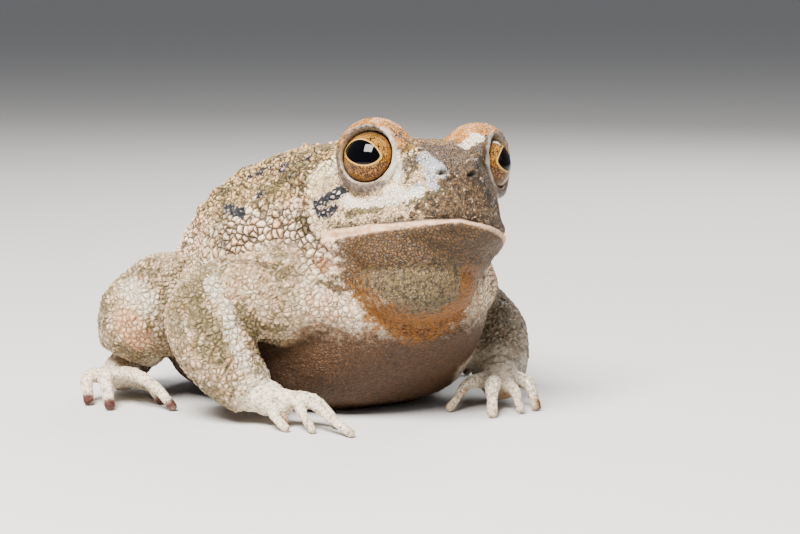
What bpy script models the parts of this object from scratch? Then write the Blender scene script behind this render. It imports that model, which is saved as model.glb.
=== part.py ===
"""A Texas toad, life size, sitting with its head raised.

The toad faces -Y with its left side towards +X, and the floor is the plane Z = 0.
Its flesh is built whole: lofted trunk and head, tapered limbs and digits, fused by a fine remesh
and thinned out where it is plain. Eye sockets, nostrils and the line of the mouth are then cut in,
warts are fused on, and thin cuts part the flesh at its joints, each part a node of its own.
"""

import math
import random

import bmesh
import bpy
from mathutils import Matrix, Vector
from mathutils.bvhtree import BVHTree

MM = 0.001                      # all sizes below are millimetres, turned to metres at the end

# Making of the flesh
GAP = 0.32                      # width of the thin cuts, and of the gap round eyes and vocal sac
VOXEL = 0.48                    # grid of the fine remesh
FLESH_TRIANGLES = 6500          # triangles left in the whole flesh
SMOOTHING = 5                   # rounds of smoothing after the remesh
FACE_DETAIL = 0.012             # how much longer edges cost in the face, hands and feet

# The trunk: place along Y, lowest and highest point, half width, height of the widest place (0 to 1)
TRUNK = [
    (-27.0, 13.0, 38.0, 9.8, 0.44),
    (-23.5, 8.0, 41.3, 13.4, 0.42),
    (-17.0, 2.0, 42.8, 16.6, 0.40),
    (-9.0, -0.6, 43.4, 19.8, 0.38),
    (-1.0, -0.8, 43.4, 23.2, 0.36),
    (7.0, -0.8, 42.2, 25.2, 0.35),
    (14.0, -0.8, 40.2, 25.2, 0.34),
    (20.0, -0.8, 36.8, 23.0, 0.34),
    (25.5, -0.4, 30.4, 18.4, 0.35),
    (30.0, 1.0, 22.6, 12.8, 0.40),
]
TRUNK_FRONT = (-28.8, 25.0)
TRUNK_REAR = (33.0, 10.5)
TRUNK_SIDES = 36
TRUNK_ROUNDNESS = (0.92, 0.66)  # 1 is an ellipse and less is boxier, above and below the widest place
THROAT_AT = (-0.6, -24.8, 28.2)
THROAT_R = (12.8, 9.2, 8.0)

# The head, in its own frame: origin midway between the eyes on the plane of the mouth
HEAD_AT = (0.8, -24.5, 31.4)
HEAD_YAW = -12.0
HEAD_PITCH = 11.0
HEAD_ROLL = 4.0
# Skull: place forward of the eyes, height of the crown, half width at the lip, half width at the brow
SKULL = [
    (-9.0, 12.6, 13.8, 8.8),
    (-5.0, 13.7, 13.5, 8.2),
    (-1.0, 14.0, 12.8, 7.2),
    (3.0, 13.0, 11.4, 6.2),
    (6.5, 11.2, 9.5, 5.4),
    (9.2, 9.0, 7.3, 4.4),
    (11.0, 6.8, 4.9, 3.2),
]
SNOUT_TIP = (12.1, 3.0)
JAW_DEPTH = 5.0                 # depth of the lower jaw under the corner of the mouth
MOUTH_DROOP = 0.12              # how far the line of the mouth falls for each millimetre off the middle
MOUTH_DROOP_SQUARED = 0.0022
MOUTH_CORNER = (13.9, -3.8)     # lateral and forward place of the corner of the mouth

EYE_AT = (9.5, -0.4, 10.1)      # lateral, forward, up
EYE_R = 4.8
EYE_AZIMUTH = 43.0              # turn of the eye's axis away from straight ahead
EYE_LIFT = 9.0
IRIS_R = 4.25                   # radius of the opening between the lids
DOME_AT = (8.9, -1.0, 10.8)     # the bulge of the upper lid
DOME_R = (6.3, 6.4, 6.2)
LID_UPPER = 0.55                # thickness of the rim of the lids, above and below
LID_LOWER = 1.0
CANTHUS = [(6.6, 4.2, 11.9), (4.6, 7.6, 10.0), (2.6, 10.0, 8.0)]
CANTHUS_R = (1.3, 1.1, 0.9)
NOSTRIL_AT = (2.3, 10.4, 7.0)
NOSTRIL_R = 0.55
UPPER_LIP = (1.0, 0.62)         # height over the line of the mouth, and radius
LOWER_LIP = (-1.0, 0.76)
MOUTH_GROOVE = 0.36             # radius of the groove between the lips
TYMPANUM_AT = (14.0, -7.4, 5.8)
TYMPANUM_R = 2.1
TYMPANUM_GROOVE = 0.26
PAROTOID_AT = (11.6, -8.6, 38.0)
PAROTOID_R = (3.2, 5.4, 2.3)

# The vocal sac: centre and half sizes
SAC_AT = (-2.8, -25.6, 22.3)
SAC_R = (10.2, 8.0, 6.1)

# Limbs: centre and radius at each place
ARM_RIGHT = {
    "shoulder": ((-12.0, -16.0, 20.0), 7.2),
    "upper": ((-20.4, -9.8, 20.0), 6.8),
    "elbow": ((-28.4, -3.2, 17.8), 5.9),
    "forearm": ((-28.2, -6.8, 11.4), 6.2),
    "wrist": ((-24.6, -12.2, 4.8), 4.0),
    "palm": ((-22.2, -16.6, 3.1), 3.4),
}
ARM_LEFT = {
    "shoulder": ((12.0, -16.0, 20.0), 7.0),
    "upper": ((16.4, -12.5, 19.2), 5.6),
    "elbow": ((21.7, -7.6, 15.6), 5.0),
    "forearm": ((22.4, -13.0, 10.8), 5.6),
    "wrist": ((18.8, -19.4, 5.2), 4.6),
    "palm": ((16.0, -22.8, 3.1), 3.3),
}
LEG_RIGHT = {
    "hip": ((-9.0, 23.5, 13.0), 8.4),
    "thigh": ((-20.5, 18.0, 15.6), 8.8),
    "knee": ((-30.0, 12.8, 16.8), 6.6),
    "shank": ((-28.8, 19.0, 11.4), 6.4),
    "ankle": ((-24.6, 28.0, 5.6), 3.8),
    "tarsus": ((-29.6, 23.4, 4.0), 3.2),
    "instep": ((-33.6, 19.2, 4.8), 2.8),
}
# Digits: places from root to tip, radius at the root and at the tip
FINGERS_RIGHT = [
    ([(-20.6, -16.4, 3.4), (-18.0, -20.0, 5.6), (-16.4, -23.6, 1.0)], 1.6, 1.0),
    ([(-21.2, -17.0, 3.2), (-20.0, -24.4, 4.0), (-18.4, -30.4, 0.9)], 1.65, 0.95),
    ([(-22.6, -17.0, 3.2), (-22.2, -20.4, 3.4), (-21.4, -24.0, 0.9)], 1.65, 1.0),
    ([(-23.6, -16.2, 2.8), (-24.9, -19.4, 2.8), (-24.3, -22.4, 0.8)], 1.5, 0.95),
]
FINGERS_LEFT = [
    ([(14.4, -21.6, 3.4), (10.0, -21.8, 3.6), (6.6, -22.2, 0.9)], 1.7, 1.1),
    ([(14.6, -23.0, 3.2), (11.4, -26.4, 4.0), (8.8, -30.0, 0.9)], 1.8, 1.2),
    ([(16.2, -23.6, 3.4), (16.0, -27.6, 4.0), (14.9, -30.4, 0.9)], 1.65, 1.1),
    ([(17.4, -23.0, 3.4), (19.0, -26.2, 4.4), (18.6, -29.2, 0.9)], 1.75, 1.2),
]
TOES_RIGHT = [
    ([(-31.4, 19.8, 3.2), (-28.4, 18.0, 2.6), (-26.6, 16.2, 0.9)], 1.35, 0.9),
    ([(-32.6, 18.8, 4.0), (-30.4, 14.4, 4.4), (-29.0, 10.8, 0.9)], 1.35, 0.9),
    ([(-34.2, 18.0, 4.4), (-33.4, 11.6, 5.6), (-30.2, 5.0, 1.0)], 1.5, 0.95),
    ([(-34.8, 19.0, 4.4), (-37.0, 15.2, 4.8), (-38.4, 11.2, 1.0)], 1.7, 1.1),
    ([(-34.6, 21.0, 4.2), (-37.4, 20.4, 4.6), (-39.4, 17.2, 1.0)], 1.6, 1.1),
]

# Warts: how many, least and greatest radius
BACK_WARTS = 68
BACK_WART_R = (0.85, 1.7)
SIDE_WARTS = 30
SIDE_WART_R = (0.8, 1.25)
WART_HEIGHT = 0.5               # height of a wart as a share of its radius
WART_SPACING = 1.1              # distance between warts as a share of the sum of their radii
WART_SIDES = 6

# The thin upright cuts, each from a front to a back place in plan and from a low to a high level
SHOULDER_CUTS_RIGHT = [
    ((-15.5, -26.0), (-24.8, 5.0), 7.5, 33.0),
    ((-18.5, -16.0), (-24.8, 5.0), -1.0, 8.5),
]
SHOULDER_CUTS_LEFT = [
    ((16.5, -26.3), (11.7, -21.5), 5.5, 28.0),
    ((11.9, -22.6), (16.4, -14.0), 5.5, 28.0),
    ((14.1, -18.4), (26.0, 4.4), 5.5, 37.5),
    ((14.2, -18.0), (26.0, 4.4), -1.0, 6.5),
]
HIP_CUT = ((26.0, 5.2), (15.6, 33.5), -1.0, 32.0)
# The cuts across bent joints: how far each reaches out of and into the bend, and to either side
ELBOW_CUT_RIGHT = ((-8.0, 10.5), 9.0)
ELBOW_CUT_LEFT = ((-7.0, 18.5), 9.0)
WRIST_CUT = ((-7.0, 6.0), 5.6)
KNEE_CUT = ((-10.0, 20.0), 10.5)
ANKLE_CUT = ((-6.0, 20.0), 8.5)
# The corner of the cuts round the head, in the head's frame, and how far they reach up and forward
NECK_AT = (0.0, -9.5, -3.6)
NECK_SLOPE = 5.9                # how steeply the cut behind the head rises
NECK_REACH = (32.0, 26.0)
NECK_HALF_WIDTH = 24.0

# Where the middle of each node of the flesh lies
NODE_PLACES = {
    "head": (0.0, -26.0, 37.0),
    "torso": (0.0, 4.0, 20.0),
    "upper_arm_right": (-23.5, -6.0, 20.0),
    "upper_arm_left": (20.5, -10.0, 20.0),
    "forearm_right": (-26.4, -7.0, 10.0),
    "forearm_left": (22.4, -13.0, 10.0),
    "hand_right": (-21.0, -20.0, 3.0),
    "hand_left": (14.0, -25.0, 3.0),
    "thigh_right": (-26.0, 14.0, 18.0),
    "thigh_left": (26.0, 14.0, 18.0),
    "shank_right": (-28.0, 21.0, 9.0),
    "shank_left": (28.0, 21.0, 9.0),
    "foot_right": (-33.0, 17.0, 3.5),
    "foot_left": (33.0, 17.0, 3.5),
}
LEAST_VOLUME = 20.0             # a scrap of flesh smaller than this, in cubic millimetres, is dropped

# Colour and roughness of each kind of sub-part
SKIN_TAN = ((0.46, 0.38, 0.28, 1.0), 0.6)
SKIN_PALE = ((0.62, 0.55, 0.44, 1.0), 0.55)
SAC_OCHRE = ((0.42, 0.27, 0.11, 1.0), 0.5)
EYE_COPPER = ((0.30, 0.16, 0.05, 1.0), 0.08)


def other_side(place):
    return (-place[0], place[1], place[2])


def both_sides(places):
    return [other_side(place) for place in places]


LEG_LEFT = {name: (other_side(place), radius) for name, (place, radius) in LEG_RIGHT.items()}
TOES_LEFT = [(both_sides(places), root, tip) for places, root, tip in TOES_RIGHT]


def head_frame():
    turn = Matrix.Rotation(math.radians(HEAD_YAW), 4, "Z")
    nod = Matrix.Rotation(math.radians(-HEAD_PITCH), 4, "X")
    roll = Matrix.Rotation(math.radians(HEAD_ROLL), 4, "Y")
    return Matrix.Translation(Vector(HEAD_AT)) @ turn @ nod @ roll


def on_head(lateral, forward, up):
    return head_frame() @ Vector((lateral, -forward, up))


def mouth_drop(lateral):
    return -MOUTH_DROOP * abs(lateral) - MOUTH_DROOP_SQUARED * lateral ** 2


def add_mesh(name, work):
    mesh = bpy.data.meshes.new(name)
    work.to_mesh(mesh)
    work.free()
    obj = bpy.data.objects.new(name, mesh)
    bpy.context.scene.collection.objects.link(obj)
    return obj


def loft(name, rings, first_pole, last_pole):
    """A closed body through rings of alike points, drawn in to a pole at each end."""
    work = bmesh.new()
    rows = [[work.verts.new(point) for point in ring] for ring in rings]
    start = work.verts.new(first_pole)
    end = work.verts.new(last_pole)
    sides = len(rows[0])
    for s in range(sides):
        after = (s + 1) % sides
        work.faces.new((start, rows[0][after], rows[0][s]))
        work.faces.new((end, rows[-1][s], rows[-1][after]))
        for near, far in zip(rows, rows[1:]):
            work.faces.new((near[s], near[after], far[after], far[s]))
    bmesh.ops.recalc_face_normals(work, faces=work.faces)
    if work.calc_volume(signed=True) < 0:
        bmesh.ops.reverse_faces(work, faces=work.faces)
    return add_mesh(name, work)


def ball(name, centre, radii, turn=None, segments=20):
    work = bmesh.new()
    bmesh.ops.create_uvsphere(work, u_segments=segments, v_segments=segments // 2, radius=1.0)
    shape = Matrix.Translation(Vector(centre)) @ (turn or Matrix()) @ Matrix.Diagonal((*radii, 1.0))
    bmesh.ops.transform(work, matrix=shape, verts=work.verts)
    return add_mesh(name, work)


def box(name, frame, half):
    work = bmesh.new()
    bmesh.ops.create_cube(work, size=2.0)
    bmesh.ops.transform(work, matrix=frame @ Matrix.Diagonal((*half, 1.0)), verts=work.verts)
    return add_mesh(name, work)


def cone(name, frame, inner, outer, height):
    work = bmesh.new()
    bmesh.ops.create_cone(work, cap_ends=True, segments=24, radius1=inner, radius2=outer, depth=height)
    bmesh.ops.transform(work, matrix=frame, verts=work.verts)
    return add_mesh(name, work)


def tube(name, places, radii, closed=False, sides=14, steps=6):
    """A round tapered tube through the places, rounded by a ball at each open end."""
    curve = bpy.data.curves.new(name, "CURVE")
    curve.dimensions = "3D"
    curve.bevel_depth = 1.0
    curve.bevel_resolution = max(1, (sides - 4) // 2)
    curve.use_fill_caps = not closed
    curve.resolution_u = steps
    line = curve.splines.new("BEZIER")
    line.bezier_points.add(len(places) - 1)
    line.use_cyclic_u = closed
    for point, place, radius in zip(line.bezier_points, places, radii):
        point.co = Vector(place)
        point.radius = radius
        point.handle_left_type = "AUTO"
        point.handle_right_type = "AUTO"
    obj = bpy.data.objects.new(name, curve)
    bpy.context.scene.collection.objects.link(obj)
    pieces = [applied(obj)]
    if not closed:
        pieces.append(ball(name, places[0], (radii[0],) * 3, segments=14))
        pieces.append(ball(name, places[-1], (radii[-1],) * 3, segments=14))
    return pieces


def applied(obj):
    """The object as its modifiers make it, as a plain mesh object."""
    graph = bpy.context.evaluated_depsgraph_get()
    mesh = bpy.data.meshes.new_from_object(obj.evaluated_get(graph))
    name = obj.name
    bpy.data.objects.remove(obj)
    solid = bpy.data.objects.new(name, mesh)
    bpy.context.scene.collection.objects.link(solid)
    return solid


def boolean(obj, tools, operation):
    """Joins or cuts the object by all the closed tools at once, and removes them."""
    group = bpy.data.collections.new("tools")
    for tool in tools:
        for holder in list(tool.users_collection):
            holder.objects.unlink(tool)
        group.objects.link(tool)
    change = obj.modifiers.new("change", "BOOLEAN")
    change.operation = operation
    change.operand_type = "COLLECTION"
    change.collection = group
    change.solver = "EXACT"
    solid = applied(obj)
    for tool in tools:
        bpy.data.objects.remove(tool)
    bpy.data.collections.remove(group)
    return solid


def trunk():
    rings = []
    for y, low, high, half, widest in TRUNK:
        middle = low + (high - low) * widest
        ring = []
        for s in range(TRUNK_SIDES):
            angle = 2 * math.pi * s / TRUNK_SIDES
            across, up = math.cos(angle), math.sin(angle)
            reach = high - middle if up > 0 else middle - low
            power = TRUNK_ROUNDNESS[0] if up > 0 else TRUNK_ROUNDNESS[1]
            ring.append((
                half * math.copysign(abs(across) ** power, across),
                y,
                middle + reach * math.copysign(abs(up) ** power, up),
            ))
        rings.append(ring)
    loft("trunk", rings, (0, *TRUNK_FRONT), (0, *TRUNK_REAR))
    ball("throat", THROAT_AT, THROAT_R, segments=28)
    for side in (-1, 1):
        x, y, z = PAROTOID_AT
        lean = Matrix.Rotation(side * math.radians(38), 4, "Y")
        ball("parotoid", (side * x, y, z), PAROTOID_R, lean)


def skull():
    """Both jaws in one loft: each ring runs from the crown by brow, cheek and lip to the throat."""
    rings = []
    widest = SKULL[0][2]
    for forward, crown, lip, brow in SKULL:
        jaw = JAW_DEPTH * (lip / widest) ** 0.6
        drop = mouth_drop(lip)
        half = [
            (0.0, crown),
            (brow * 0.55, crown + 0.1),
            (brow, crown - 0.6),
            (brow + (lip - brow) * 0.46, crown * 0.68),
            (brow + (lip - brow) * 0.82, crown * 0.36),
            (lip, 1.0 + drop),
            (lip, drop - 1.0),
            (lip * 0.94, drop - jaw * 0.55),
            (lip * 0.68, drop - jaw * 0.95),
            (lip * 0.3, drop - jaw * 1.1),
            (0.0, drop - jaw * 1.12),
        ]
        ring = [on_head(x, forward, z) for x, z in half]
        ring += [on_head(-x, forward, z) for x, z in reversed(half[1:-1])]
        rings.append(ring)
    back = on_head(0, SKULL[0][0] - 4.0, 4.0)
    loft("skull", rings, back, on_head(0, *SNOUT_TIP))


def lip_line(height, inset=0.0):
    """Places along the line of the mouth from the right corner round the snout to the left one."""
    corner, behind = MOUTH_CORNER
    half = [(corner, behind)]
    half += [(lip, forward) for forward, _, lip, _ in SKULL if forward > behind + 1.0]
    half += [(SKULL[-1][2] * 0.5, SNOUT_TIP[0] - 0.35)]
    line = [(-x, f) for x, f in half] + [(0.0, SNOUT_TIP[0])] + [(x, f) for x, f in reversed(half)]
    return [on_head(x * (1 - inset), f - inset * 6, height + mouth_drop(x)) for x, f in line]


def lips():
    for height, radius in (UPPER_LIP, LOWER_LIP):
        line = lip_line(height, 0.02)
        last = len(line) - 1
        radii = [radius * (1.25 - 0.5 * math.sin(math.pi * i / last)) for i in range(last + 1)]
        tube("lip", line, radii, sides=10)


def eye_turn(side):
    """Turns +Z onto the eye's axis, with +X staying level."""
    azimuth, lift = math.radians(EYE_AZIMUTH), math.radians(EYE_LIFT)
    axis = Vector((
        side * math.sin(azimuth) * math.cos(lift),
        -math.cos(azimuth) * math.cos(lift),
        math.sin(lift),
    ))
    level = Vector((0, 0, 1)).cross(axis).normalized()
    upright = axis.cross(level)
    return Matrix((level, upright, axis)).transposed().to_4x4()


def eye_frame(side):
    x, forward, z = EYE_AT
    return head_frame() @ Matrix.Translation((side * x, -forward, z)) @ eye_turn(side)


def lid_depth():
    return math.sqrt(EYE_R ** 2 - IRIS_R ** 2)


def face():
    lips()
    turn = head_frame().to_3x3().to_4x4()
    for side in (-1, 1):
        x, forward, z = DOME_AT
        ball("dome", on_head(side * x, forward, z), DOME_R, turn, segments=24)
        frame = eye_frame(side)
        rim, radii = [], []
        for s in range(16):
            angle = 2 * math.pi * s / 16
            thick = LID_UPPER + (LID_LOWER - LID_UPPER) * (0.5 - 0.5 * math.sin(angle))
            reach = IRIS_R + thick * 0.7
            rim.append(frame @ Vector((reach * math.cos(angle), reach * math.sin(angle), lid_depth() - 0.6 * thick)))
            radii.append(thick)
        tube("lid", rim, radii, closed=True, sides=10)
        tube("canthus", [on_head(side * x, f, z) for x, f, z in CANTHUS], CANTHUS_R, sides=10)
        x, forward, z = NOSTRIL_AT
        ball("nostril", on_head(side * x, forward - 0.3, z), (1.25, 1.25, 1.1), segments=12)


def limbs():
    for parts in (ARM_RIGHT, ARM_LEFT, LEG_RIGHT, LEG_LEFT):
        places = [place for place, _ in parts.values()]
        radii = [radius for _, radius in parts.values()]
        tube("limb", places, radii, sides=22)
    for digits in (FINGERS_RIGHT, FINGERS_LEFT, TOES_RIGHT, TOES_LEFT):
        for places, root, tip in digits:
            tube("digit", places, [root, (root + tip) * 0.54, tip], sides=12)


def joined(name, objects):
    work = bmesh.new()
    for obj in objects:
        work.from_mesh(obj.data)
        bpy.data.objects.remove(obj)
    return add_mesh(name, work)


def plainness(place):
    """1 on the plain trunk, falling to a small share in the face, hands and feet."""
    local = head_frame().inverted() @ place
    in_face = local.z > -5 and abs(local.x) < 16
    face_share = max(0.0, min(1.0, (8.0 - local.y) / 6.0)) if in_face else 0.0
    reach = max(abs(place.x) - 27.0 if place.y > 0 else -place.y - 14.0, 0.0) / 3.0
    low = max(0.0, min(1.0, (7.0 - place.z) / 2.0))
    return 1.0 - 0.9 * max(face_share, min(1.0, reach) * low)


def fused(obj):
    remesh = obj.modifiers.new("fuse", "REMESH")
    remesh.mode = "VOXEL"
    remesh.voxel_size = VOXEL
    obj = applied(obj)
    plain = obj.vertex_groups.new(name="plain")
    for vertex in obj.data.vertices:
        plain.add([vertex.index], plainness(vertex.co), "REPLACE")
    smooth = obj.modifiers.new("smooth", "SMOOTH")
    smooth.factor = 0.5
    smooth.iterations = SMOOTHING
    smooth.vertex_group = "plain"
    ease = obj.modifiers.new("ease", "SMOOTH")
    ease.factor = 0.5
    ease.iterations = 2
    thin = obj.modifiers.new("thin", "DECIMATE")
    thin.ratio = FLESH_TRIANGLES / (2 * len(obj.data.polygons))
    thin.vertex_group = "plain"
    thin.vertex_group_factor = FACE_DETAIL
    return applied(obj)


def surface(obj):
    return BVHTree.FromObject(obj, bpy.context.evaluated_depsgraph_get())


def carve(flesh):
    """Cuts the floor, eye sockets, nostrils, eardrums, the line of the mouth and the bed of the sac."""
    tools = [box("floor", Matrix.Translation((0, 0, -10)), (60, 60, 10))]
    skin = surface(flesh)
    for side in (-1, 1):
        frame = eye_frame(side)
        tools.append(ball("socket", frame.to_translation(), (EYE_R + GAP,) * 3, segments=20))
        ahead = frame @ Matrix.Translation((0, 0, lid_depth() + 2.3))
        tools.append(cone("opening", ahead, IRIS_R, IRIS_R + 1.0, 5.0))
        x, forward, z = NOSTRIL_AT
        hole = on_head(side * (x + 0.55), forward + 0.55, z + 0.35)
        tools.append(ball("hole", hole, (NOSTRIL_R, NOSTRIL_R, NOSTRIL_R * 1.5), segments=10))
        ring = []
        x, forward, z = TYMPANUM_AT
        for s in range(12):
            angle = 2 * math.pi * s / 12
            reach = (TYMPANUM_R * math.cos(angle), TYMPANUM_R * math.sin(angle))
            ring.append(skin.find_nearest(on_head(side * x, forward + reach[0], z + reach[1]))[0])
        tools += tube("tympanum", ring, [TYMPANUM_GROOVE] * 12, closed=True, sides=4, steps=1)
    groove = [skin.find_nearest(place)[0] for place in lip_line(0.0)]
    tools += tube("groove", groove, [MOUTH_GROOVE] * len(groove), sides=4, steps=2)
    tools.append(ball("sac_bed", SAC_AT, [r + GAP for r in SAC_R], segments=20))
    return boolean(flesh, tools, "DIFFERENCE")


def wart(place, normal, radius, draw):
    turn = normal.to_track_quat("Z", "Y").to_matrix().to_4x4()
    turn = turn @ Matrix.Rotation(draw.uniform(0, math.pi), 4, "Z")
    sunk = 0.15 * radius
    radii = (radius, radius * draw.uniform(0.78, 1.0), radius * WART_HEIGHT + sunk)
    return ball("wart", place - normal * sunk, radii, turn, segments=WART_SIDES)


def warted(flesh):
    """Rounded warts scattered over back, flanks and limbs, none on the face, belly, hands or feet."""
    skin = surface(flesh)
    draw = random.Random(11)
    placed, tools = [], []

    def scatter(count, radii, ray):
        left, tries = count, 0
        while left and tries < 4000:
            tries += 1
            origin, direction = ray()
            place, normal, _, _ = skin.ray_cast(origin, direction)
            radius = draw.uniform(*radii)
            if place is None or place.y < -13.5 or place.z < 8.5:
                continue
            if any((place - other).length < (radius + r) * WART_SPACING for other, r in placed):
                continue
            placed.append((place, radius))
            tools.append(wart(place, normal, radius, draw))
            left -= 1

    scatter(BACK_WARTS, BACK_WART_R, lambda: (
        Vector((draw.uniform(-19, 19), draw.uniform(-13, 29), 60)), Vector((0, 0, -1))))
    for side in (-1, 1):
        scatter(SIDE_WARTS // 2, SIDE_WART_R, lambda: (
            Vector((side * 60, draw.uniform(-13, 26), draw.uniform(9, 32))), Vector((-side, 0, 0))))
    return boolean(flesh, tools, "UNION")


def slab(at, normal, along, reach, across):
    """A thin cut: a plate in the plane through a place, with its reach along one way and across it."""
    normal = Vector(normal).normalized()
    along = Vector(along)
    along = (along - normal * along.dot(normal)).normalized()
    side = normal.cross(along)
    start, end = reach
    middle = Vector(at) + along * (start + end) / 2
    frame = Matrix.Translation(middle) @ Matrix((along, side, normal)).transposed().to_4x4()
    return box("slab", frame, ((end - start) / 2, across, GAP / 2))


def wall(front, back, low, high):
    """A thin upright cut between two places in plan."""
    front, back = Vector((*front, 0)), Vector((*back, 0))
    run = back - front
    normal = Vector((run.y, -run.x, 0))
    return slab((front + back) / 2, normal, (0, 0, 1), (low, high), run.length / 2)


def fold(parts, before, joint, after, reach, across):
    """A cut across a bent joint, along the plane that halves the bend."""
    at = Vector(parts[joint][0])
    first = (Vector(parts[before][0]) - at).normalized()
    second = (Vector(parts[after][0]) - at).normalized()
    return slab(at, first - second, first + second, reach, across)


def parted(flesh):
    """Thin cuts at neck, shoulders, elbows, wrists, hips, knees and ankles."""
    turn = head_frame().to_3x3()
    corner = on_head(*NECK_AT)
    forward, up = turn @ Vector((0, -1, 0)), turn @ Vector((0, 0, 1))
    cuts = [
        slab(corner, up, forward, (-GAP, NECK_REACH[0]), NECK_HALF_WIDTH),
        slab(corner, forward * NECK_SLOPE - up, up, (-GAP, NECK_REACH[1]), NECK_HALF_WIDTH),
    ]
    for side, arm, leg, shoulder_cuts, elbow_cut in (
        (-1, ARM_RIGHT, LEG_RIGHT, SHOULDER_CUTS_RIGHT, ELBOW_CUT_RIGHT),
        (1, ARM_LEFT, LEG_LEFT, SHOULDER_CUTS_LEFT, ELBOW_CUT_LEFT),
    ):
        cuts += [wall(*cut) for cut in shoulder_cuts]
        cuts.append(fold(arm, "upper", "elbow", "forearm", *elbow_cut))
        along = Vector(arm["palm"][0]) - Vector(arm["forearm"][0])
        cuts.append(slab(arm["wrist"][0], along, (0, 0, 1), *WRIST_CUT))
        front, back, low, high = HIP_CUT
        cuts.append(wall((side * front[0], front[1]), (side * back[0], back[1]), low, high))
        cuts.append(fold(leg, "thigh", "knee", "shank", *KNEE_CUT))
        cuts.append(fold(leg, "shank", "ankle", "tarsus", *ANKLE_CUT))
    return boolean(flesh, cuts, "DIFFERENCE")


def drop_flaps(work):
    """Deletes pairs of faces on the same corners, which enclose nothing."""
    corners = {}
    for face in work.faces:
        corners.setdefault(frozenset(face.verts), []).append(face)
    doubled = [face for faces in corners.values() if len(faces) > 1 for face in faces]
    bmesh.ops.delete(work, geom=doubled, context="FACES")
    loose = [vert for vert in work.verts if not vert.link_faces]
    bmesh.ops.delete(work, geom=loose, context="VERTS")


def pieces_of(obj):
    """Each closed surface of the object as a bmesh of its own."""
    work = bmesh.new()
    work.from_mesh(obj.data)
    drop_flaps(work)
    left = set(work.verts)
    groups = []
    while left:
        start = left.pop()
        group, edge = {start}, [start]
        while edge:
            vert = edge.pop()
            for link in vert.link_edges:
                other = link.other_vert(vert)
                if other in left:
                    left.remove(other)
                    group.add(other)
                    edge.append(other)
        groups.append(group)
    pieces = []
    for group in groups:
        piece = bmesh.new()
        copies = {vert: piece.verts.new(vert.co) for vert in group}
        for face in {face for vert in group for face in vert.link_faces}:
            piece.faces.new([copies[vert] for vert in face.verts])
        pieces.append(piece)
    work.free()
    return pieces


def named_nodes(flesh):
    """Names each piece of flesh by the nearest place, and keeps the largest for each name."""
    found = {}
    for piece in pieces_of(flesh):
        volume = piece.calc_volume(signed=True)
        if volume < LEAST_VOLUME:
            piece.free()
            continue
        low = Vector([min(vert.co[i] for vert in piece.verts) for i in range(3)])
        high = Vector([max(vert.co[i] for vert in piece.verts) for i in range(3)])
        middle = (low + high) / 2
        name = min(NODE_PLACES, key=lambda n: (Vector(NODE_PLACES[n]) - middle).length)
        if name in found and found[name][0] > volume:
            piece.free()
            continue
        found[name] = (volume, piece)
    bpy.data.objects.remove(flesh)
    for name, (_, piece) in found.items():
        add_mesh(name, piece)


def finish(name, colour, roughness):
    material = bpy.data.materials.new(name)
    material.use_nodes = True
    shader = material.node_tree.nodes["Principled BSDF"]
    shader.inputs["Base Color"].default_value = colour
    shader.inputs["Roughness"].default_value = roughness
    shader.inputs["Metallic"].default_value = 0.0
    return material


def placed_on_origin():
    """Moves the middle of the whole toad over the origin and turns millimetres to metres."""
    solids = list(bpy.context.scene.objects)
    corners = [vert.co for solid in solids for vert in solid.data.vertices]
    middle = [(min(c[i] for c in corners) + max(c[i] for c in corners)) / 2 for i in range(2)]
    lowest = min(c[2] for c in corners)
    shift = Matrix.Translation((-middle[0], -middle[1], -lowest))
    for solid in solids:
        solid.data.transform(Matrix.Scale(MM, 4) @ shift)


def main():
    for obj in list(bpy.data.objects):
        bpy.data.objects.remove(obj)
    trunk()
    skull()
    face()
    limbs()
    flesh = fused(joined("flesh", list(bpy.context.scene.objects)))
    flesh = warted(flesh)
    flesh = carve(flesh)
    named_nodes(parted(flesh))
    for side, word in ((-1, "right"), (1, "left")):
        frame = eye_frame(side)
        ball(f"eye_{word}", frame.to_translation(), (EYE_R,) * 3, eye_turn(side), segments=20)
    ball("throat_sac", SAC_AT, SAC_R, segments=20)
    for solid in bpy.context.scene.objects:
        look = SKIN_TAN
        if solid.name.startswith("eye"):
            look = EYE_COPPER
        elif solid.name == "throat_sac":
            look = SAC_OCHRE
        elif solid.name.startswith(("hand", "foot", "forearm")):
            look = SKIN_PALE
        solid.data.materials.clear()
        solid.data.materials.append(finish(solid.name + "_finish", *look))
    placed_on_origin()


main()
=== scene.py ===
"""The looks of a life-size Texas toad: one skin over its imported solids, eyes, markings and a stage."""

import math

import bmesh
import bpy
import numpy as np
from bpy.props import FloatProperty, FloatVectorProperty, IntProperty, PointerProperty
from mathutils import Matrix, Vector
from mathutils.bvhtree import BVHTree


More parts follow.
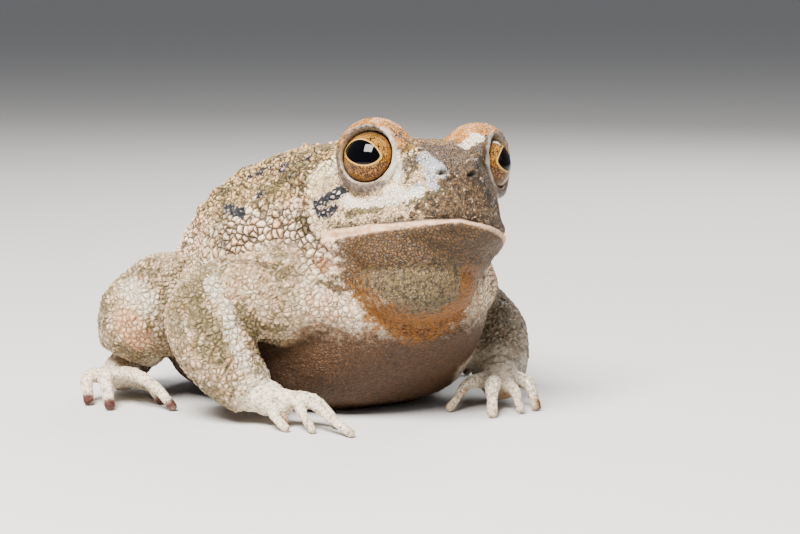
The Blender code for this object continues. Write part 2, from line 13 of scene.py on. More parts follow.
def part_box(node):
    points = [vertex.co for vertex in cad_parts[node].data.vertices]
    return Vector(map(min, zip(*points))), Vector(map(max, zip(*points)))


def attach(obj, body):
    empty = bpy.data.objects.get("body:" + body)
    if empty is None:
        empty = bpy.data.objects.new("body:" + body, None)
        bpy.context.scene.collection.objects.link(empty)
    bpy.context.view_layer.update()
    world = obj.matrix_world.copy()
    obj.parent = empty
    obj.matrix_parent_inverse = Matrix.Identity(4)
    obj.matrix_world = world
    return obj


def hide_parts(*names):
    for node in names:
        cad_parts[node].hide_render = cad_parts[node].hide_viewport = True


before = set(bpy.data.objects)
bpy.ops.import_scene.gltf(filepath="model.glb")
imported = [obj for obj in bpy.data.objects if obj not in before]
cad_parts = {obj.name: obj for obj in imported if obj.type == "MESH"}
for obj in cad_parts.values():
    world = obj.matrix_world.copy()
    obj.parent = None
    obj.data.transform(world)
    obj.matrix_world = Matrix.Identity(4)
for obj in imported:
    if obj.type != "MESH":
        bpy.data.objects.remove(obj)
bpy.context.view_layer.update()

bl_info = {
    "name": "Texas Toad Looks",
    "version": (1, 0, 0),
    "blender": (4, 5, 0),
    "location": "3D View > Sidebar > Toad",
    "description": "Dresses the solids of a Texas toad in skin, eyes and markings, on a plain stage",
    "category": "Object",
}

# Places are in the toad's own millimetres: it faces -Y, its left is +X, and the floor is Z = 0
MM = 0.001
FLESH = [name for name in sorted(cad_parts) if not name.startswith("eye")]

# The head's own frame: origin midway between the eyes on the plane of the mouth
HEAD_AT = Vector((0.8, -24.5, 31.4))
HEAD_TURN = (
    Matrix.Rotation(math.radians(-12.0), 3, "Z")
    @ Matrix.Rotation(math.radians(-11.0), 3, "X")
    @ Matrix.Rotation(math.radians(4.0), 3, "Y")
)
EYE_HEIGHT = 10.1
EYE_BACK = 0.4
EYE_AZIMUTH = 43.0
EYE_LIFT = 9.0
OPENING = 4.25                  # radius of the opening between the lids

# The line of the mouth: place forward of the eyes and half width of the lip there
LIP_STATIONS = [
    (-3.8, 13.9), (-1.0, 12.8), (3.0, 11.4), (6.5, 9.5), (9.2, 7.3), (11.0, 4.9), (11.75, 2.45), (12.1, 0.0)]
MOUTH_DROOP = (0.03, 0.12)      # of the right half and of the left
MOUTH_DROOP_SQUARED = 0.0022
MOUTH_CORNER = LIP_STATIONS[0][1]
LOWER_LIP = (-0.38, 0.36)       # its height and slope against the line of the mouth
UPPER_LIP = 0.8
CANTHUS = [(6.6, 4.2, 11.9), (4.6, 7.6, 10.0), (2.9, 9.6, 8.3)]
NOSTRIL_AT = (2.5, 10.7, 7.0)

SAC_AT = (-2.8, -25.9, 22.3)
SAC_R = (10.2, 8.3, 6.2)

# Middle lines of the limbs with their radii
ARM_RIGHT = [
    ((-20.4, -9.8, 20.0), 6.8), ((-28.4, -3.2, 17.8), 5.9), ((-28.2, -6.8, 11.4), 6.2),
    ((-24.6, -12.2, 4.8), 4.0), ((-22.2, -16.6, 3.1), 3.4)]
ARM_LEFT = [
    ((16.4, -12.5, 19.2), 5.6), ((21.7, -7.6, 15.6), 5.0), ((22.4, -13.0, 10.8), 5.6),
    ((18.8, -19.4, 5.2), 4.6), ((16.0, -22.8, 3.1), 3.3)]
TOE_TIPS = [
    (-26.6, 16.2, 0.9), (-29.0, 10.8, 0.9), (-30.2, 5.0, 1.0), (-38.4, 11.2, 1.0), (-39.4, 17.2, 1.0)]
FINGER_TIPS = [
    (-16.4, -23.6, 1.0), (-18.4, -30.4, 0.9), (-21.4, -24.0, 0.9), (-24.3, -22.4, 0.8),
    (6.6, -22.2, 0.9), (8.8, -30.0, 0.9), (14.9, -30.4, 0.9), (18.6, -29.2, 0.9)]

# Markings: kind, half width and the line that each follows. Some are painted highlight or painted shade, as
# noted beside them.
MARKS = [
    ("frost", 1.1, [(-4.6, -30.5, 42.4), (-4.1, -31.6, 42.0), (-3.5, -32.6, 41.6)]),
    ("frost", 0.9, [(-4.7, -31.7, 40.6), (-4.6, -32.8, 39.5), (-4.9, -33.0, 38.6)]),
    ("frost", 0.7, [(-6.2, -31.6, 38.4), (-7.4, -30.6, 37.4)]),
    ("frost", 1.1, [(-3.3, -33.1, 40.8)]),
    ("pale", 0.8, [(-11.5, -17.7, 36.5), (-11.5, -20.0, 35.3), (-10.0, -24.7, 35.6), (-8.3, -29.3, 36.6)]),
    ("pale", 0.8, [(-8.3, -29.3, 36.6), (-6.4, -31.9, 37.6)]),
    ("pale", 0.9, [(-7.5, -27.5, 39.6), (-7.2, -26.0, 43.1)]),
    ("pale", 0.9, [(-8.4, -10.9, 41.1), (-10.5, -12.8, 39.7)]),
    # Painted highlight: pale wet spots on the left dome.
    ("pale", 1.2, [(5.5, -27.6, 43.9), (7.7, -27.3, 45.2)]),
    ("pale", 1.0, [(-8.6, -26.4, 38.0), (-7.7, -30.5, 37.0)]),
    ("drum", 1.2, [(-13.6, -12.1, 36.9), (-11.8, -12.3, 39.7), (-8.8, -10.2, 40.9)]),
    ("ink", 1.1, [(-13.8, -14.2, 34.6), (-12.4, -15.7, 36.0), (-11.4, -17.5, 36.8)]),
    ("ink", 0.9, [(-14.0, -15.7, 33.3), (-13.0, -17.7, 34.1)]),
    ("ink", 0.8, [(-15.1, 4.5, 37.8)]),
    ("ink", 1.0, [(-13.5, 3.3, 38.8)]),
    ("ink", 0.6, [(-12.6, 1.6, 39.5)]),
    ("ink", 0.7, [(-12.7, -2.0, 39.4), (-11.8, -1.2, 40.1)]),
    ("ink", 0.6, [(-11.1, -3.8, 40.3)]),
    ("ink", 0.6, [(-9.9, -5.3, 41.1)]),
    ("ink", 0.7, [(-13.5, -5.9, 38.9)]),
    ("ink", 0.9, [(-16.8, -1.4, 35.4)]),
    ("ink", 0.9, [(-19.4, 4.8, 33.0), (-19.2, 0.0, 32.3)]),
    ("olive", 1.0, [(-15.6, -12.2, 32.5), (-15.8, -13.7, 30.7)]),
    ("olive", 0.55, [(-7.0, -29.0, 39.3), (-5.9, -29.0, 41.1), (-5.1, -29.6, 41.9)]),
    ("olive", 0.5, [(-5.6, -27.8, 42.8)]),
    ("olive", 0.9, [(-12.1, -20.8, 33.6), (-10.7, -23.3, 34.5), (-9.8, -26.0, 35.0)]),
    ("olive", 0.7, [(-14.3, -9.7, 35.9), (-13.7, -11.1, 38.7), (-9.6, -7.7, 40.8)]),
    ("olive", 0.6, [(-4.6, -33.6, 38.0), (-6.2, -32.6, 36.9), (-7.9, -30.8, 35.9)]),
    ("rust", 1.0, [(-16.2, -17.9, 26.0), (-15.4, -20.1, 24.9)]),
    # Painted shade down the left side of the snout, over its own brown.
    ("brown_and_shade", 1.6, [(3.4, -33.5, 41.0), (4.6, -34.2, 38.5), (5.6, -34.4, 36.0)]),
    ("brown_and_shade", 0.9, [(-4.6, -29.6, 42.4), (-6.2, -28.2, 42.2), (-7.4, -27.2, 40.6)]),
    ("olive", 0.4, [(-9.4, -26.8, 35.7), (-8.6, -29.1, 36.0)]),
    ("olive", 0.45, [(-8.3, -29.8, 35.9), (-7.6, -31.4, 35.9)]),
    ("olive", 0.45, [(-6.0, -32.7, 37.2), (-3.3, -34.2, 37.9)]),
    ("olive", 1.3, [(-32.2, -7.3, 19.7), (-32.1, -9.5, 16.2), (-30.8, -11.9, 13.2), (-29.6, -13.0, 10.9)]),
    ("olive", 1.4, [(-27.3, -12.4, 20.2), (-25.6, -13.1, 16.9), (-23.9, -11.1, 12.2), (-24.4, -14.0, 8.6)]),
    ("olive", 2.0, [(-32.9, 11.9, 22.5), (-32.0, 8.5, 21.5)]),
    ("olive", 1.8, [(22.1, -18.7, 12.7), (21.5, -21.1, 9.7), (19.2, -23.0, 7.6)]),
    ("wet", 0.9, [(2.7, -32.7, 42.3), (4.0, -33.6, 39.9), (4.8, -34.0, 38.0), (5.9, -34.2, 35.9)]),
    ("wet", 1.2, [(23.1, -20.2, 10.3), (22.1, -22.1, 7.2), (18.1, -27.6, 5.0)]),
    ("blush", 2.4, [(-36.0, 9.9, 14.7), (-33.8, 9.6, 11.5)]),
    # Painted highlight on the hind leg.
    ("pale", 2.0, [(-34.9, 10.1, 19.9), (-33.5, 7.6, 18.1)]),
    ("pale", 1.2, [(-29.9, -8.3, 22.8), (-28.9, -10.3, 18.8), (-28.2, -12.1, 14.3), (-27.4, -13.8, 9.6)]),
]

# The photograph's view
VIEW_AZIMUTH = -35.0
VIEW_HEIGHT = 7.0
VIEW_DISTANCE = 345.0
LENS = 100.0
SENSOR = 36.0
IMAGE = (800, 534)
AIM_AT = Vector((-1.4, -35.6, 33.9))      # the middle of the mouth
AIM_PIXEL = (460, 216)
LIGHTS_AIM = Vector((0, 0, 0.02))         # in metres


def eye_middle(side):
    low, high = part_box("eye_right" if side < 0 else "eye_left")
    return (low + high) / 2 / MM


def own_shift():
    """From the toad's own millimetres to the frame's, found from the two eyes."""
    between = (eye_middle(-1) + eye_middle(1)) / 2
    return between - HEAD_TURN @ Vector((0, EYE_BACK, EYE_HEIGHT)) - HEAD_AT


SHIFT = own_shift()
EYE_R = (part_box("eye_right")[1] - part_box("eye_right")[0])[2] / 2 / MM


def on_head(lateral, forward, up):
    return HEAD_AT + HEAD_TURN @ Vector((lateral, -forward, up))


def eye_frame(side):
    """The eye's frame: origin at its middle, +Z along its axis, +X level."""
    azimuth, lift = math.radians(EYE_AZIMUTH), math.radians(EYE_LIFT)
    axis = Vector((
        side * math.sin(azimuth) * math.cos(lift),
        -math.cos(azimuth) * math.cos(lift),
        math.sin(lift),
    ))
    level = Vector((0, 0, 1)).cross(axis).normalized()
    turn = Matrix((level, axis.cross(level), axis)).transposed()
    return Matrix.Translation(eye_middle(side) - SHIFT) @ (HEAD_TURN @ turn).to_4x4()


def mouth_line(height, slope=0.0):
    """Places along the mouth from its right corner to its left one, lower by slope at the corners."""
    half = [(lip, forward) for forward, lip in LIP_STATIONS]
    line = []
    for x, forward in [(-x, f) for x, f in half] + list(reversed(half[:-1])):
        up = height - slope * abs(x) / MOUTH_CORNER
        line.append(on_head(x, forward, up - MOUTH_DROOP[x > 0] * abs(x) - MOUTH_DROOP_SQUARED * x * x))
    return line


def other_side(place):
    return (-place[0], place[1], place[2])


class Socket:
    """A node's output that can be added, subtracted, multiplied, divided and raised in plain expressions."""

    def __init__(self, graph, output):
        self.graph = graph
        self.output = output

    def __add__(self, other):
        return self.graph.maths("ADD", self, other)

    def __radd__(self, other):
        return self.graph.maths("ADD", other, self)

    def __sub__(self, other):
        return self.graph.maths("SUBTRACT", self, other)

    def __rsub__(self, other):
        return self.graph.maths("SUBTRACT", other, self)

    def __mul__(self, other):
        return self.graph.maths("MULTIPLY", self, other)

    def __rmul__(self, other):
        return self.graph.maths("MULTIPLY", other, self)

    def __truediv__(self, other):
        return self.graph.maths("DIVIDE", self, other)

    def __pow__(self, other):
        return self.graph.maths("POWER", self, other)


class Graph:
    """Builds the nodes of a material or of a geometry modifier."""

    def __init__(self, tree):
        self.tree = tree
        self.geometry = tree.bl_idname == "GeometryNodeTree"

    def node(self, kind, settings=None, inputs=None):
        made = self.tree.nodes.new(kind)
        for name, value in (settings or {}).items():
            setattr(made, name, value)
        for name, value in (inputs or {}).items():
            self.feed(made.inputs[name], value)
        return made

    def feed(self, target, value):
        if isinstance(value, Socket):
            self.tree.links.new(value.output, target)
        elif value is not None:
            target.default_value = value

    def out(self, made, name=0):
        return Socket(self, made.outputs[name])

    def maths(self, operation, first, second=None, clamp=False):
        values = {i: v for i, v in enumerate((first, second)) if v is not None}
        return self.out(self.node("ShaderNodeMath", {"operation": operation, "use_clamp": clamp}, values))

    def clamped(self, value):
        return self.maths("ADD", value, 0.0, clamp=True)

    def between(self, value, low, high):
        """0 below low, 1 above high, and eased between them."""
        settings = {"interpolation_type": "SMOOTHSTEP"}
        return self.out(self.node("ShaderNodeMapRange", settings, {0: value, 1: low, 2: high}))

    def larger(self, first, second):
        return self.maths("MAXIMUM", first, second)

    def read(self, name, vector=False):
        """A value or vector that the mesh keeps at each of its points."""
        if self.geometry:
            kind = "FLOAT_VECTOR" if vector else "FLOAT"
            made = self.node("GeometryNodeInputNamedAttribute", {"data_type": kind}, {"Name": name})
            return self.out(made, "Attribute")
        made = self.node("ShaderNodeAttribute", {"attribute_type": "GEOMETRY", "attribute_name": name})
        return self.out(made, "Vector" if vector else "Fac")

    def colour_mix(self, share, first, second):
        """From the first colour to the second. Each is a socket, a setting or three numbers."""
        made = self.node("ShaderNodeMix", {"data_type": "RGBA", "clamp_factor": True})
        first, second = (value if isinstance(value, Socket) else rgba(value) for value in (first, second))
        for name, value in (("Factor_Float", share), ("A_Color", first), ("B_Color", second)):
            target = next(s for s in made.inputs if s.identifier == name)
            self.feed(target, value)
        return Socket(self, next(s for s in made.outputs if s.identifier == "Result_Color"))

    def vector_maths(self, operation, first, second=None, scale=None):
        values = {i: v for i, v in enumerate((first, second)) if v is not None}
        if scale is not None:
            values["Scale"] = scale
        made = self.node("ShaderNodeVectorMath", {"operation": operation}, values)
        return self.out(made, "Value" if operation == "DOT_PRODUCT" else 0)

    def noise(self, place, scale, detail, roughness=0.5, colour=False):
        inputs = {"Vector": place, "Scale": scale, "Detail": detail, "Roughness": roughness}
        return self.out(self.node("ShaderNodeTexNoise", {}, inputs), "Color" if colour else 0)

    def cells(self, place, size, feature, output="Distance", jitter=1.0):
        """Cells about that many millimetres wide."""
        inputs = {"Vector": place, "Scale": 1 / size, "Randomness": jitter}
        return self.out(self.node("ShaderNodeTexVoronoi", {"feature": feature}, inputs), output)

    def wandering(self, place, scale, detail):
        """The place moved a little to and fro, so that the cells there aren't regular."""
        wander = self.vector_maths("SCALE", self.noise(place, scale, detail, colour=True), scale=0.8)
        return self.vector_maths("ADD", place, wander)

    def squeezed(self, place, along, share):
        """The place with its run along one direction stretched, so that a pattern forms bands across it."""
        along = tuple(Vector(along).normalized())
        run = self.vector_maths("DOT_PRODUCT", place, along)
        return self.vector_maths("ADD", place, self.vector_maths("SCALE", along, scale=run * (share - 1)))


def rgba(colour):
    return (*colour, 1.0)


def colour_setting(name, text, default):
    return FloatVectorProperty(name=name, description=text, subtype="COLOR", default=default, min=0.0, max=1.0)


class ToadSkinSettings(bpy.types.PropertyGroup):
    """Sizes and colours of the skin."""

    voxel: FloatProperty(name="Grid", description="Grid of the finest remesh, in mm", default=0.28, min=0.1)
    faces: IntProperty(name="Triangles", description="Most triangles in the skin", default=196000)
    cobble: FloatProperty(name="Cobbles", description="Width of a flank granule, in millimetres", default=1.35)
    granule: FloatProperty(name="Granules", description="Width on the chest and limbs, in mm", default=0.9)
    grain: FloatProperty(name="Grain", description="Width of a grain on face and throat, in mm", default=0.5)
    wart: FloatProperty(name="Warts", description="Distance between warts on the back, in mm", default=4.4)
    tan: colour_setting("Tan", "Colour of the back", (0.56, 0.33, 0.11))
    cream: colour_setting("Cream", "Colour of the flank granules", (0.95, 0.70, 0.44))
    blush: colour_setting("Blush", "Pink of some granules and warts", (0.80, 0.40, 0.20))
    # Partly the belly's own brown, partly painted shade under the body.
    belly: colour_setting("Belly", "Colour of the belly", (0.088, 0.037, 0.011))
    olive: colour_setting("Olive", "Colour of the olive blotches", (0.075, 0.058, 0.018))
    ink: colour_setting("Ink", "Colour of the darkest spots", (0.012, 0.012, 0.015))
    # The dark between granules: partly the skin's own colour, partly painted shade in the creases.
    crease_pigment_and_shade: colour_setting("Crease", "Colour between granules", (0.022, 0.012, 0.004))
    ochre: colour_setting("Ochre", "Colour of the edge of the vocal sac", (0.21, 0.074, 0.004))
    frost: colour_setting("Frost", "Colour of the pale bluish patches", (0.50, 0.51, 0.54))
    pale: colour_setting("Pale", "Colour of the whitest skin", (0.98, 0.88, 0.70))
    rust: colour_setting("Rust", "Colour of the domes over the eyes", (0.50, 0.195, 0.020))
    lip: colour_setting("Lip", "Colour of the lower lip", (0.54, 0.26, 0.11))
    # Partly the own brown of snout and throat, partly painted shade.
    brown_and_shade: colour_setting("Brown", "Colour of the snout and throat", (0.042, 0.022, 0.008))
    claw: colour_setting("Tips", "Colour of the tips of the toes", (0.06, 0.012, 0.006))


class ToadEyeSettings(bpy.types.PropertyGroup):
    """Sizes and colours of the eyes."""

    pupil_width: FloatProperty(name="Pupil width", description="In millimetres", default=6.3)
    pupil_height: FloatProperty(name="Pupil height", description="In millimetres", default=4.1)
    pupil_shift: FloatProperty(name="Pupil shift", description="Away from the snout, in mm", default=0.45)
    gold: colour_setting("Gold", "Colour of the iris", (0.32, 0.12, 0.014))
    bright: colour_setting("Bright gold", "Colour of the pupil's rim and the upper iris", (0.55, 0.33, 0.08))
    vein: colour_setting("Vein", "Colour of the dark net in the iris", (0.012, 0.005, 0.002))


class ToadStageSettings(bpy.types.PropertyGroup):
    """The floor and the light."""

    floor: colour_setting("Floor", "Colour of the floor", (0.62, 0.61, 0.59))
    key: FloatProperty(name="Key light", description="Power of the main light", default=17.5, unit="POWER")
    fill: FloatProperty(name="Fill light", description="Power of the fill light", default=0.8, unit="POWER")
    rim: FloatProperty(name="Rim light", description="Power of the light behind", default=3.0, unit="POWER")


# Making of shapes

TUBE_STEPS = 8                  # between two places of a tube
EVENING_STEPS = (0.5, -0.53)    # share of the way to the neighbours, there and back


def deselect():
    if bpy.context.mode != "OBJECT":
        bpy.ops.object.mode_set(mode="OBJECT")
    bpy.ops.object.select_all(action="DESELECT")


def chosen(obj):
    deselect()
    obj.select_set(True)
    bpy.context.view_layer.objects.active = obj
    return obj


def apply_modifier(obj, kind, **settings):
    chosen(obj)
    change = obj.modifiers.new(kind.lower(), kind)
    for name, value in settings.items():
        setattr(change, name, value)
    bpy.ops.object.modifier_apply(modifier=change.name)
    return obj


def ball(centre, radii, segments):
    """A ball at a place in the toad's own millimetres."""
    deselect()
    bpy.ops.mesh.primitive_uv_sphere_add(segments=segments, ring_count=segments // 2, radius=1.0)
    obj = bpy.context.object
    obj.data.transform(Matrix.Translation(Vector(centre)) @ Matrix.Diagonal((*radii, 1.0)))
    return obj


def tube(places, radii, closed=False, sides=16):
    """A round tube through the places, with a ball on each open end."""
    deselect()
    bpy.ops.curve.primitive_bezier_curve_add()
    obj = bpy.context.object
    curve = obj.data
    curve.splines.clear()
    line = curve.splines.new("BEZIER")
    line.bezier_points.add(len(places) - 1)
    for point, place, radius in zip(line.bezier_points, places, radii):
        point.co = Vector(place)
        point.radius = radius
        point.handle_left_type = "AUTO"
        point.handle_right_type = "AUTO"
    line.use_cyclic_u = closed
    curve.bevel_depth = 1.0
    curve.bevel_resolution = (sides - 4) // 2
    curve.use_fill_caps = not closed
    curve.resolution_u = TUBE_STEPS
    bpy.ops.object.convert(target="MESH")
    pieces = [bpy.context.object]
    if not closed:
        pieces.append(ball(places[0], (radii[0],) * 3, segments=16))
        pieces.append(ball(places[-1], (radii[-1],) * 3, segments=16))
    return pieces


def joined(name, pieces):
    """One mesh object of all the pieces, which are removed."""
    work = bmesh.new()
    for piece in pieces:
        work.from_mesh(piece.data)
        bpy.data.objects.remove(piece)
    mesh = bpy.data.meshes.new(name)
    work.to_mesh(mesh)
    work.free()
    obj = bpy.data.objects.new(name, mesh)
    bpy.context.scene.collection.objects.link(obj)
    return obj


def places_of(mesh):
    flat = np.empty(len(mesh.vertices) * 3, np.float32)
    mesh.vertices.foreach_get("co", flat)
    return flat.reshape(-1, 3).astype(float)


def set_places(mesh, places):
    mesh.vertices.foreach_set("co", places.astype(np.float32).ravel())
    mesh.update()


def normals_of(mesh):
    flat = np.empty(len(mesh.vertices) * 3, np.float32)
    mesh.vertex_normals.foreach_get("vector", flat)
    return flat.reshape(-1, 3).astype(float)


def evened(mesh, rounds, weight):
    """Smooths the mesh without shrinking it: each round draws points to their neighbours and back again."""
    places = places_of(mesh)
    ends = np.empty(len(mesh.edges) * 2, np.int32)
    mesh.edges.foreach_get("vertices", ends)
    first, second = ends[0::2], ends[1::2]
    count = len(places)
    degree = np.bincount(first, minlength=count) + np.bincount(second, minlength=count)
    degree = np.maximum(degree, 1)[:, None]
    weight = weight[:, None]
    for _ in range(rounds):
        for step in EVENING_STEPS:
            total = np.stack([
                np.bincount(first, at[second], count) + np.bincount(second, at[first], count)
                for at in places.T
            ], axis=1)
            places += (total / degree - places) * step * weight
    set_places(mesh, places)


def eased(value, low, high):
    """0 below low, 1 above high, and eased between them."""
    share = np.clip((value - low) / (high - low), 0, 1)
    return share * share * (3 - 2 * share)


def in_head(places):
    """Lateral, forward and up of each place, in the head's frame."""
    local = (places - np.array(HEAD_AT)) @ np.array(HEAD_TURN)
    return local[:, 0], -local[:, 1], local[:, 2]


def in_eye(places, side):
    """Each place in the eye's frame, with its first part towards the snout."""
    eye = eye_frame(side)
    local = (places - np.array(eye.translation)) @ np.array(eye.to_3x3())
    return local * np.array((-side, 1, 1))


def blob(places, centre, radii, soft):
    """1 inside an egg shape and 0 outside it, eased over its outer part."""
    reach = np.linalg.norm((places - np.array(centre)) / np.array(radii), axis=1)
    return 1 - eased(reach, 1 - soft, 1 + soft * 0.5)


def distance_to(places, line):
    """Distance of each place from a line through the given points, and how far along it that is (0 to 1)."""
    line = np.array([tuple(point) for point in line], float)
    if len(line) == 1:
        return np.linalg.norm(places - line[0], axis=1), np.zeros(len(places))
    lengths = np.linalg.norm(np.diff(line, axis=0), axis=1)
    before = np.concatenate([[0], np.cumsum(lengths)])
    best = np.full(len(places), 1e9)
    along = np.zeros(len(places))
    for i, (start, end) in enumerate(zip(line, line[1:])):
        run = end - start
        share = np.clip(((places - start) @ run) / (run @ run), 0, 1)
        gap = np.linalg.norm(places - (start + share[:, None] * run), axis=1)
        nearer = gap < best
        best[nearer] = gap[nearer]
        along[nearer] = (before[i] + share[nearer] * lengths[i]) / before[-1]
    return best, along


def beside(places, limb):
    """How far each place is from a limb's middle line, as a share of the limb's radius there."""
    gap, along = distance_to(places, [place for place, _ in limb])
    line = np.array([place for place, _ in limb])
    before = np.concatenate([[0], np.cumsum(np.linalg.norm(np.diff(line, axis=0), axis=1))])
    return gap / np.interp(along, before / before[-1], [radius for _, radius in limb])


# The skin's shape

SWELL = 0.22                    # closes the thin cuts between the solids
FIRST_VOXEL = 0.5
EYE_ROOM = 0.06                 # between the skin and the eyeballs
LAID_STEP = 1.2                 # longest straight run of a line laid on the skin
LID_STEPS = 36
KNUCKLE = 1.1                   # how much thicker a digit is at its joints

# Hands and feet made anew with slender fingers: places from root to tip with radii
REBUILT = ("hand_right", "hand_left", "foot_right", "foot_left")
HAND_RIGHT = [
    [((-25.0, -11.6, 5.4), 3.5), ((-23.6, -14.4, 4.4), 2.6), ((-22.3, -17.0, 3.6), 1.8)],
    [((-21.8, -15.2, 4.2), 1.2), ((-18.4, -19.6, 4.4), 0.85),
     ((-17.2, -22.0, 2.8), 0.62), ((-16.4, -23.8, 0.7), 0.66)],
    [((-22.2, -15.8, 4.6), 1.4), ((-20.4, -21.2, 4.5), 0.9),
     ((-19.4, -26.0, 2.5), 0.66), ((-18.4, -30.4, 0.7), 0.68)],
    [((-22.8, -15.6, 4.8), 1.4), ((-21.6, -18.4, 4.7), 1.0),
     ((-21.6, -21.4, 2.8), 0.66), ((-21.7, -24.4, 0.7), 0.68)],
    [((-23.6, -15.8, 3.4), 1.2), ((-24.8, -18.4, 2.4), 0.8),
     ((-24.6, -20.0, 1.2), 0.66), ((-24.4, -21.0, 0.7), 0.66)],
    [((-23.2, -17.2, 1.7), 1.1), ((-23.0, -17.6, 1.3), 1.1)],
]
HAND_LEFT = [
    [((19.4, -18.4, 5.8), 4.2), ((17.6, -21.4, 4.6), 3.4), ((16.2, -23.4, 4.0), 2.6)],
    [((14.6, -21.8, 4.6), 1.5), ((10.4, -21.8, 4.2), 0.85),
     ((8.2, -22.0, 2.2), 0.65), ((6.6, -22.2, 0.8), 0.7)],
    [((14.6, -23.8, 4.2), 1.6), ((11.6, -27.0, 4.2), 1.1),
     ((10.0, -29.2, 2.4), 0.8), ((9.2, -30.2, 0.9), 0.85)],
    [((16.0, -24.6, 4.0), 1.5), ((15.8, -27.6, 3.4), 0.85),
     ((15.3, -29.2, 2.0), 0.65), ((15.0, -30.2, 0.8), 0.65)],
    [((18.2, -23.0, 4.4), 1.6), ((19.4, -26.2, 4.2), 1.1),
     ((19.2, -28.2, 2.4), 0.8), ((18.8, -29.4, 0.9), 0.85)],
]
FOOT_RIGHT = [
    [((-24.6, 28.0, 5.6), 3.6), ((-29.6, 23.4, 4.0), 3.0), ((-33.2, 19.4, 4.2), 2.2)],
    [((-31.4, 19.8, 3.2), 1.2), ((-28.4, 18.0, 2.4), 0.85), ((-26.6, 16.2, 0.8), 0.7)],
    [((-32.6, 18.8, 4.0), 1.2), ((-30.4, 14.4, 4.0), 0.95), ((-29.0, 10.8, 0.8), 0.7)],
    [((-34.0, 18.0, 4.4), 1.4), ((-33.4, 11.6, 5.4), 1.05),
     ((-31.6, 7.6, 3.6), 0.85), ((-30.2, 4.8, 0.8), 0.75)],
    [((-34.8, 19.0, 4.4), 1.5), ((-37.0, 15.2, 4.6), 1.2), ((-38.4, 11.2, 0.9), 0.85)],
    [((-34.6, 21.0, 4.2), 1.4), ((-37.4, 20.4, 4.2), 1.1), ((-39.2, 17.2, 0.9), 0.85)],
]
FOOT_LEFT = [[(other_side(place), radius) for place, radius in line] for line in FOOT_RIGHT]


def dilated_flesh():
    """The flesh nodes as one mesh in the toad's own millimetres, swollen to close the cuts between them."""
    whole = bmesh.new()
    for name in FLESH:
        if name in REBUILT:
            continue
        work = bmesh.new()
        work.from_mesh(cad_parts[name].data)
        bmesh.ops.transform(work, matrix=Matrix.Translation(-SHIFT) @ Matrix.Scale(1 / MM, 4), verts=work.verts)
        bmesh.ops.remove_doubles(work, verts=work.verts, dist=0.01)
        work.normal_update()
        for vert in work.verts:
            vert.co += vert.normal * SWELL
        mesh = bpy.data.meshes.new(name)
        work.to_mesh(mesh)
        work.free()
        whole.from_mesh(mesh)
        bpy.data.meshes.remove(mesh)
    mesh = bpy.data.meshes.new("skin")
    whole.to_mesh(mesh)
    whole.free()
    obj = bpy.data.objects.new("skin", mesh)
    bpy.context.scene.collection.objects.link(obj)
    return obj


def plain_share(places):
    """1 on the trunk and upper limbs, low on the face, hands and feet, whose solids are finer."""
    lateral, forward, up = in_head(places)
    face = eased(forward, -8, -4) * eased(up, -7, -4) * (1 - eased(np.abs(lateral), 16, 18))
    hand = eased(-places[:, 1], 14, 17) * (1 - eased(places[:, 2], 6, 9))
    foot = eased(np.abs(places[:, 0]), 26, 30) * (1 - eased(places[:, 2], 7, 10)) * eased(places[:, 1], 0, 4)
    return 1 - 0.85 * np.clip(face + hand + foot, 0, 1)


def base_skin():
    skin = apply_modifier(dilated_flesh(), "REMESH", mode="VOXEL", voxel_size=FIRST_VOXEL)
    evened(skin.data, 60, plain_share(places_of(skin.data)))
    evened(skin.data, 250, blob(places_of(skin.data), (-11.0, -16.5, 13.0), (11.0, 8.0, 7.0), 0.5))
    places, normals = places_of(skin.data), normals_of(skin.data)
    set_places(skin.data, places - normals * SWELL * 0.8)
    return skin


class Surface:
    """The skin as it is now, to lay lines on."""

    def __init__(self, skin):
        self.tree = BVHTree.FromPolygons(
            [tuple(c) for c in places_of(skin.data)], [tuple(p.vertices) for p in skin.data.polygons])

    def laid(self, places, lift=0.0):
        """The places drawn on to the nearest point of the skin, raised by lift."""
        found = [self.tree.find_nearest(Vector(place)) for place in places]
        return [place + normal * lift for place, normal, _, _ in found]

    def drawn(self, line):
        """The line drawn on to the skin in short steps."""
        points = [Vector(point) for point in line]
        steps = []
        for start, end in zip(points, points[1:]):
            count = math.ceil((end - start).length / LAID_STEP)
            steps += [start.lerp(end, i / count) for i in range(count)]
        return self.laid(steps + points[-1:])

    def facing(self, place):
        return np.array(self.tree.find_nearest(Vector(place))[1])


def lid_forms(side, surface):
    """The thick ring of the lower lid, the thin rim inside it and the wrinkled band of the upper lid."""
    eye = eye_frame(side)
    depth = math.sqrt(EYE_R ** 2 - OPENING ** 2)
    forms = []
    ring, radii, rim = [], [], []
    for s in range(LID_STEPS):
        angle = 2 * math.pi * s / LID_STEPS
        low = max(0.0, -math.sin(angle))
        front = max(0.0, -side * math.cos(angle))
        thick = 0.12 + 0.7 * low ** 0.7 + 0.2 * front ** 2
        reach = OPENING + 0.2 + thick * 0.85
        ring.append(eye @ Vector((
            reach * math.cos(angle), reach * math.sin(angle), depth - 0.45 * thick + 0.5 * front ** 2)))
        radii.append(thick)
        reach = OPENING + 0.08
        rim.append(eye @ Vector((reach * math.cos(angle), reach * math.sin(angle), depth)))
    forms += tube(ring, radii, closed=True)
    forms += tube(rim, [0.17] * LID_STEPS, closed=True, sides=10)
    for reach, thick, start, end in ((0.55, 0.17, 20, 150), (0.95, 0.14, 35, 135)):
        band = []
        for s in range(9):
            angle = math.radians(start + (end - start) * s / 8)
            spread = OPENING + reach
            band.append(eye @ Vector((
                -side * math.cos(angle) * spread, math.sin(angle) * spread, depth - reach * 0.5)))
        band = surface.laid(band, 0.05)
        forms += tube(band, [thick * math.sin(math.pi * (s + 1) / 10) + 0.06 for s in range(9)], sides=10)
    return forms


